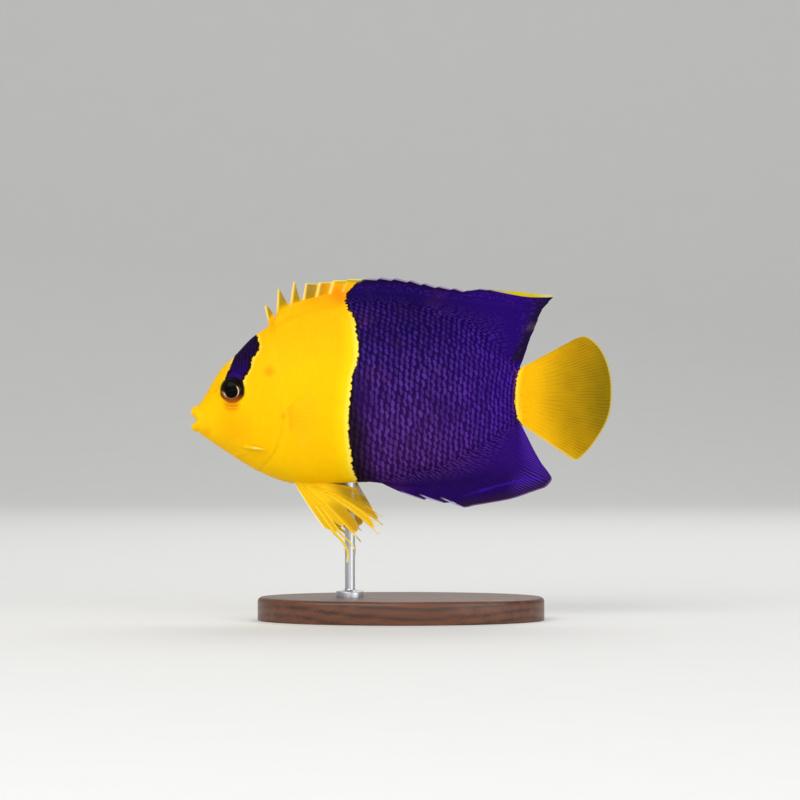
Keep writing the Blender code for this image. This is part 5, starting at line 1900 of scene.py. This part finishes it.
class AngelfishEye(bpy.types.PropertyGroup):
    radius: size("Radius", "Radius of the eye in the side view", 0.00348)
    half_depth: size("Half depth", "Half of the eye's thickness", 0.0026)
    sunk: size("Sunk", "How far the eye's middle lies inside the flank", 0.00125)


class AngelfishStand(bpy.types.PropertyGroup):
    edge: size("Edge", "Radius of the base's upper edge", 0.0014)
    segments: count("Segments", "Sides of the oval base", 160, 24)


class AngelfishColours(bpy.types.PropertyGroup):
    yellow: colour("Yellow", "Colour of the front of the body", (254, 199, 1))
    band: colour("Band", "Colour of the band from the eye to the nape", (24, 5, 56))
    wood: colour("Wood", "Colour of the stand's base", (98, 52, 26))


class AngelfishStage(bpy.types.PropertyGroup):
    paper: colour("Paper", "Colour of the floor and backdrop", (236, 236, 234))
    key_power: power("Key light", "Power of the key light", 6.3)
    fill_power: power("Fill light", "Power of the fill light", 4.2)
    rear_power: power("Rear light", "Power of the rear light", 4.0)
    low_power: power("Low light", "Power of the light from low in front", 1.0)
    air: FloatProperty(name="Air", description="Strength of the even light from all sides", default=0.45)
    camera_distance: size("Camera distance", "From the camera to the fish's middle", 1.0)


class AngelfishSettings(bpy.types.PropertyGroup):
    body: PointerProperty(type=AngelfishBody)
    eye: PointerProperty(type=AngelfishEye)
    stand: PointerProperty(type=AngelfishStand)
    colours: PointerProperty(type=AngelfishColours)
    stage: PointerProperty(type=AngelfishStage)


class ANGELFISH_OT_skin(bpy.types.Operator):
    """Build the skin that stands for the solids of head, gill covers, trunk and tail stem"""

    bl_idname = "angelfish.skin"
    bl_label = "Skin"

    def execute(self, context):
        build_skin()
        return {"FINISHED"}


class ANGELFISH_OT_cheek_spines(bpy.types.Operator):
    """Build the spines at the corner of each cheek"""

    bl_idname = "angelfish.cheek_spines"
    bl_label = "Cheek spines"

    def execute(self, context):
        build_cheek_spines()
        return {"FINISHED"}


class ANGELFISH_OT_eyes(bpy.types.Operator):
    """Build both eyes"""

    bl_idname = "angelfish.eyes"
    bl_label = "Eyes"

    def execute(self, context):
        build_eyes()
        return {"FINISHED"}


class ANGELFISH_OT_fins(bpy.types.Operator):
    """Build the dorsal, anal and tail fins"""

    bl_idname = "angelfish.fins"
    bl_label = "Dorsal, anal and tail fins"

    def execute(self, context):
        build_fins()
        return {"FINISHED"}


class ANGELFISH_OT_paired_fins(bpy.types.Operator):
    """Build the pelvic and pectoral fins"""

    bl_idname = "angelfish.paired_fins"
    bl_label = "Pelvic and pectoral fins"

    def execute(self, context):
        build_paired_fins()
        return {"FINISHED"}


class ANGELFISH_OT_scales(bpy.types.Operator):
    """Lay the coat of scales over the skin and the roots of the fins"""

    bl_idname = "angelfish.scales"
    bl_label = "Scales"

    def execute(self, context):
        build_scales()
        return {"FINISHED"}


class ANGELFISH_OT_stand(bpy.types.Operator):
    """Build the display stand"""

    bl_idname = "angelfish.stand"
    bl_label = "Stand"

    def execute(self, context):
        build_stand()
        return {"FINISHED"}


class ANGELFISH_OT_stage(bpy.types.Operator):
    """Build the floor, lights and camera"""

    bl_idname = "angelfish.stage"
    bl_label = "Stage"

    def execute(self, context):
        build_stage()
        return {"FINISHED"}


PIECES = (
    ANGELFISH_OT_skin, ANGELFISH_OT_cheek_spines, ANGELFISH_OT_eyes, ANGELFISH_OT_fins,
    ANGELFISH_OT_paired_fins, ANGELFISH_OT_scales, ANGELFISH_OT_stand, ANGELFISH_OT_stage,
)


class ANGELFISH_PT_panel(bpy.types.Panel):
    bl_label = "Angelfish"
    bl_idname = "ANGELFISH_PT_panel"
    bl_space_type = "VIEW_3D"
    bl_region_type = "UI"
    bl_category = "Angelfish"

    def draw(self, context):
        model = context.scene.angelfish
        for group in (model.body, model.eye, model.stand, model.colours, model.stage):
            box = self.layout.box()
            for name in group.__annotations__:
                box.prop(group, name)
        for piece in PIECES:
            self.layout.operator(piece.bl_idname)


GROUPS = (AngelfishBody, AngelfishEye, AngelfishStand, AngelfishColours, AngelfishStage, AngelfishSettings)


def register():
    for made in (*GROUPS, *PIECES, ANGELFISH_PT_panel):
        bpy.utils.register_class(made)
    bpy.types.Scene.angelfish = PointerProperty(type=AngelfishSettings)


def unregister():
    del bpy.types.Scene.angelfish
    for made in reversed((*GROUPS, *PIECES, ANGELFISH_PT_panel)):
        bpy.utils.unregister_class(made)


def main():
    register()
    for piece in PIECES:
        group, name = piece.bl_idname.split(".")
        getattr(getattr(bpy.ops, group), name)()


if __name__ == "__main__":
    main()
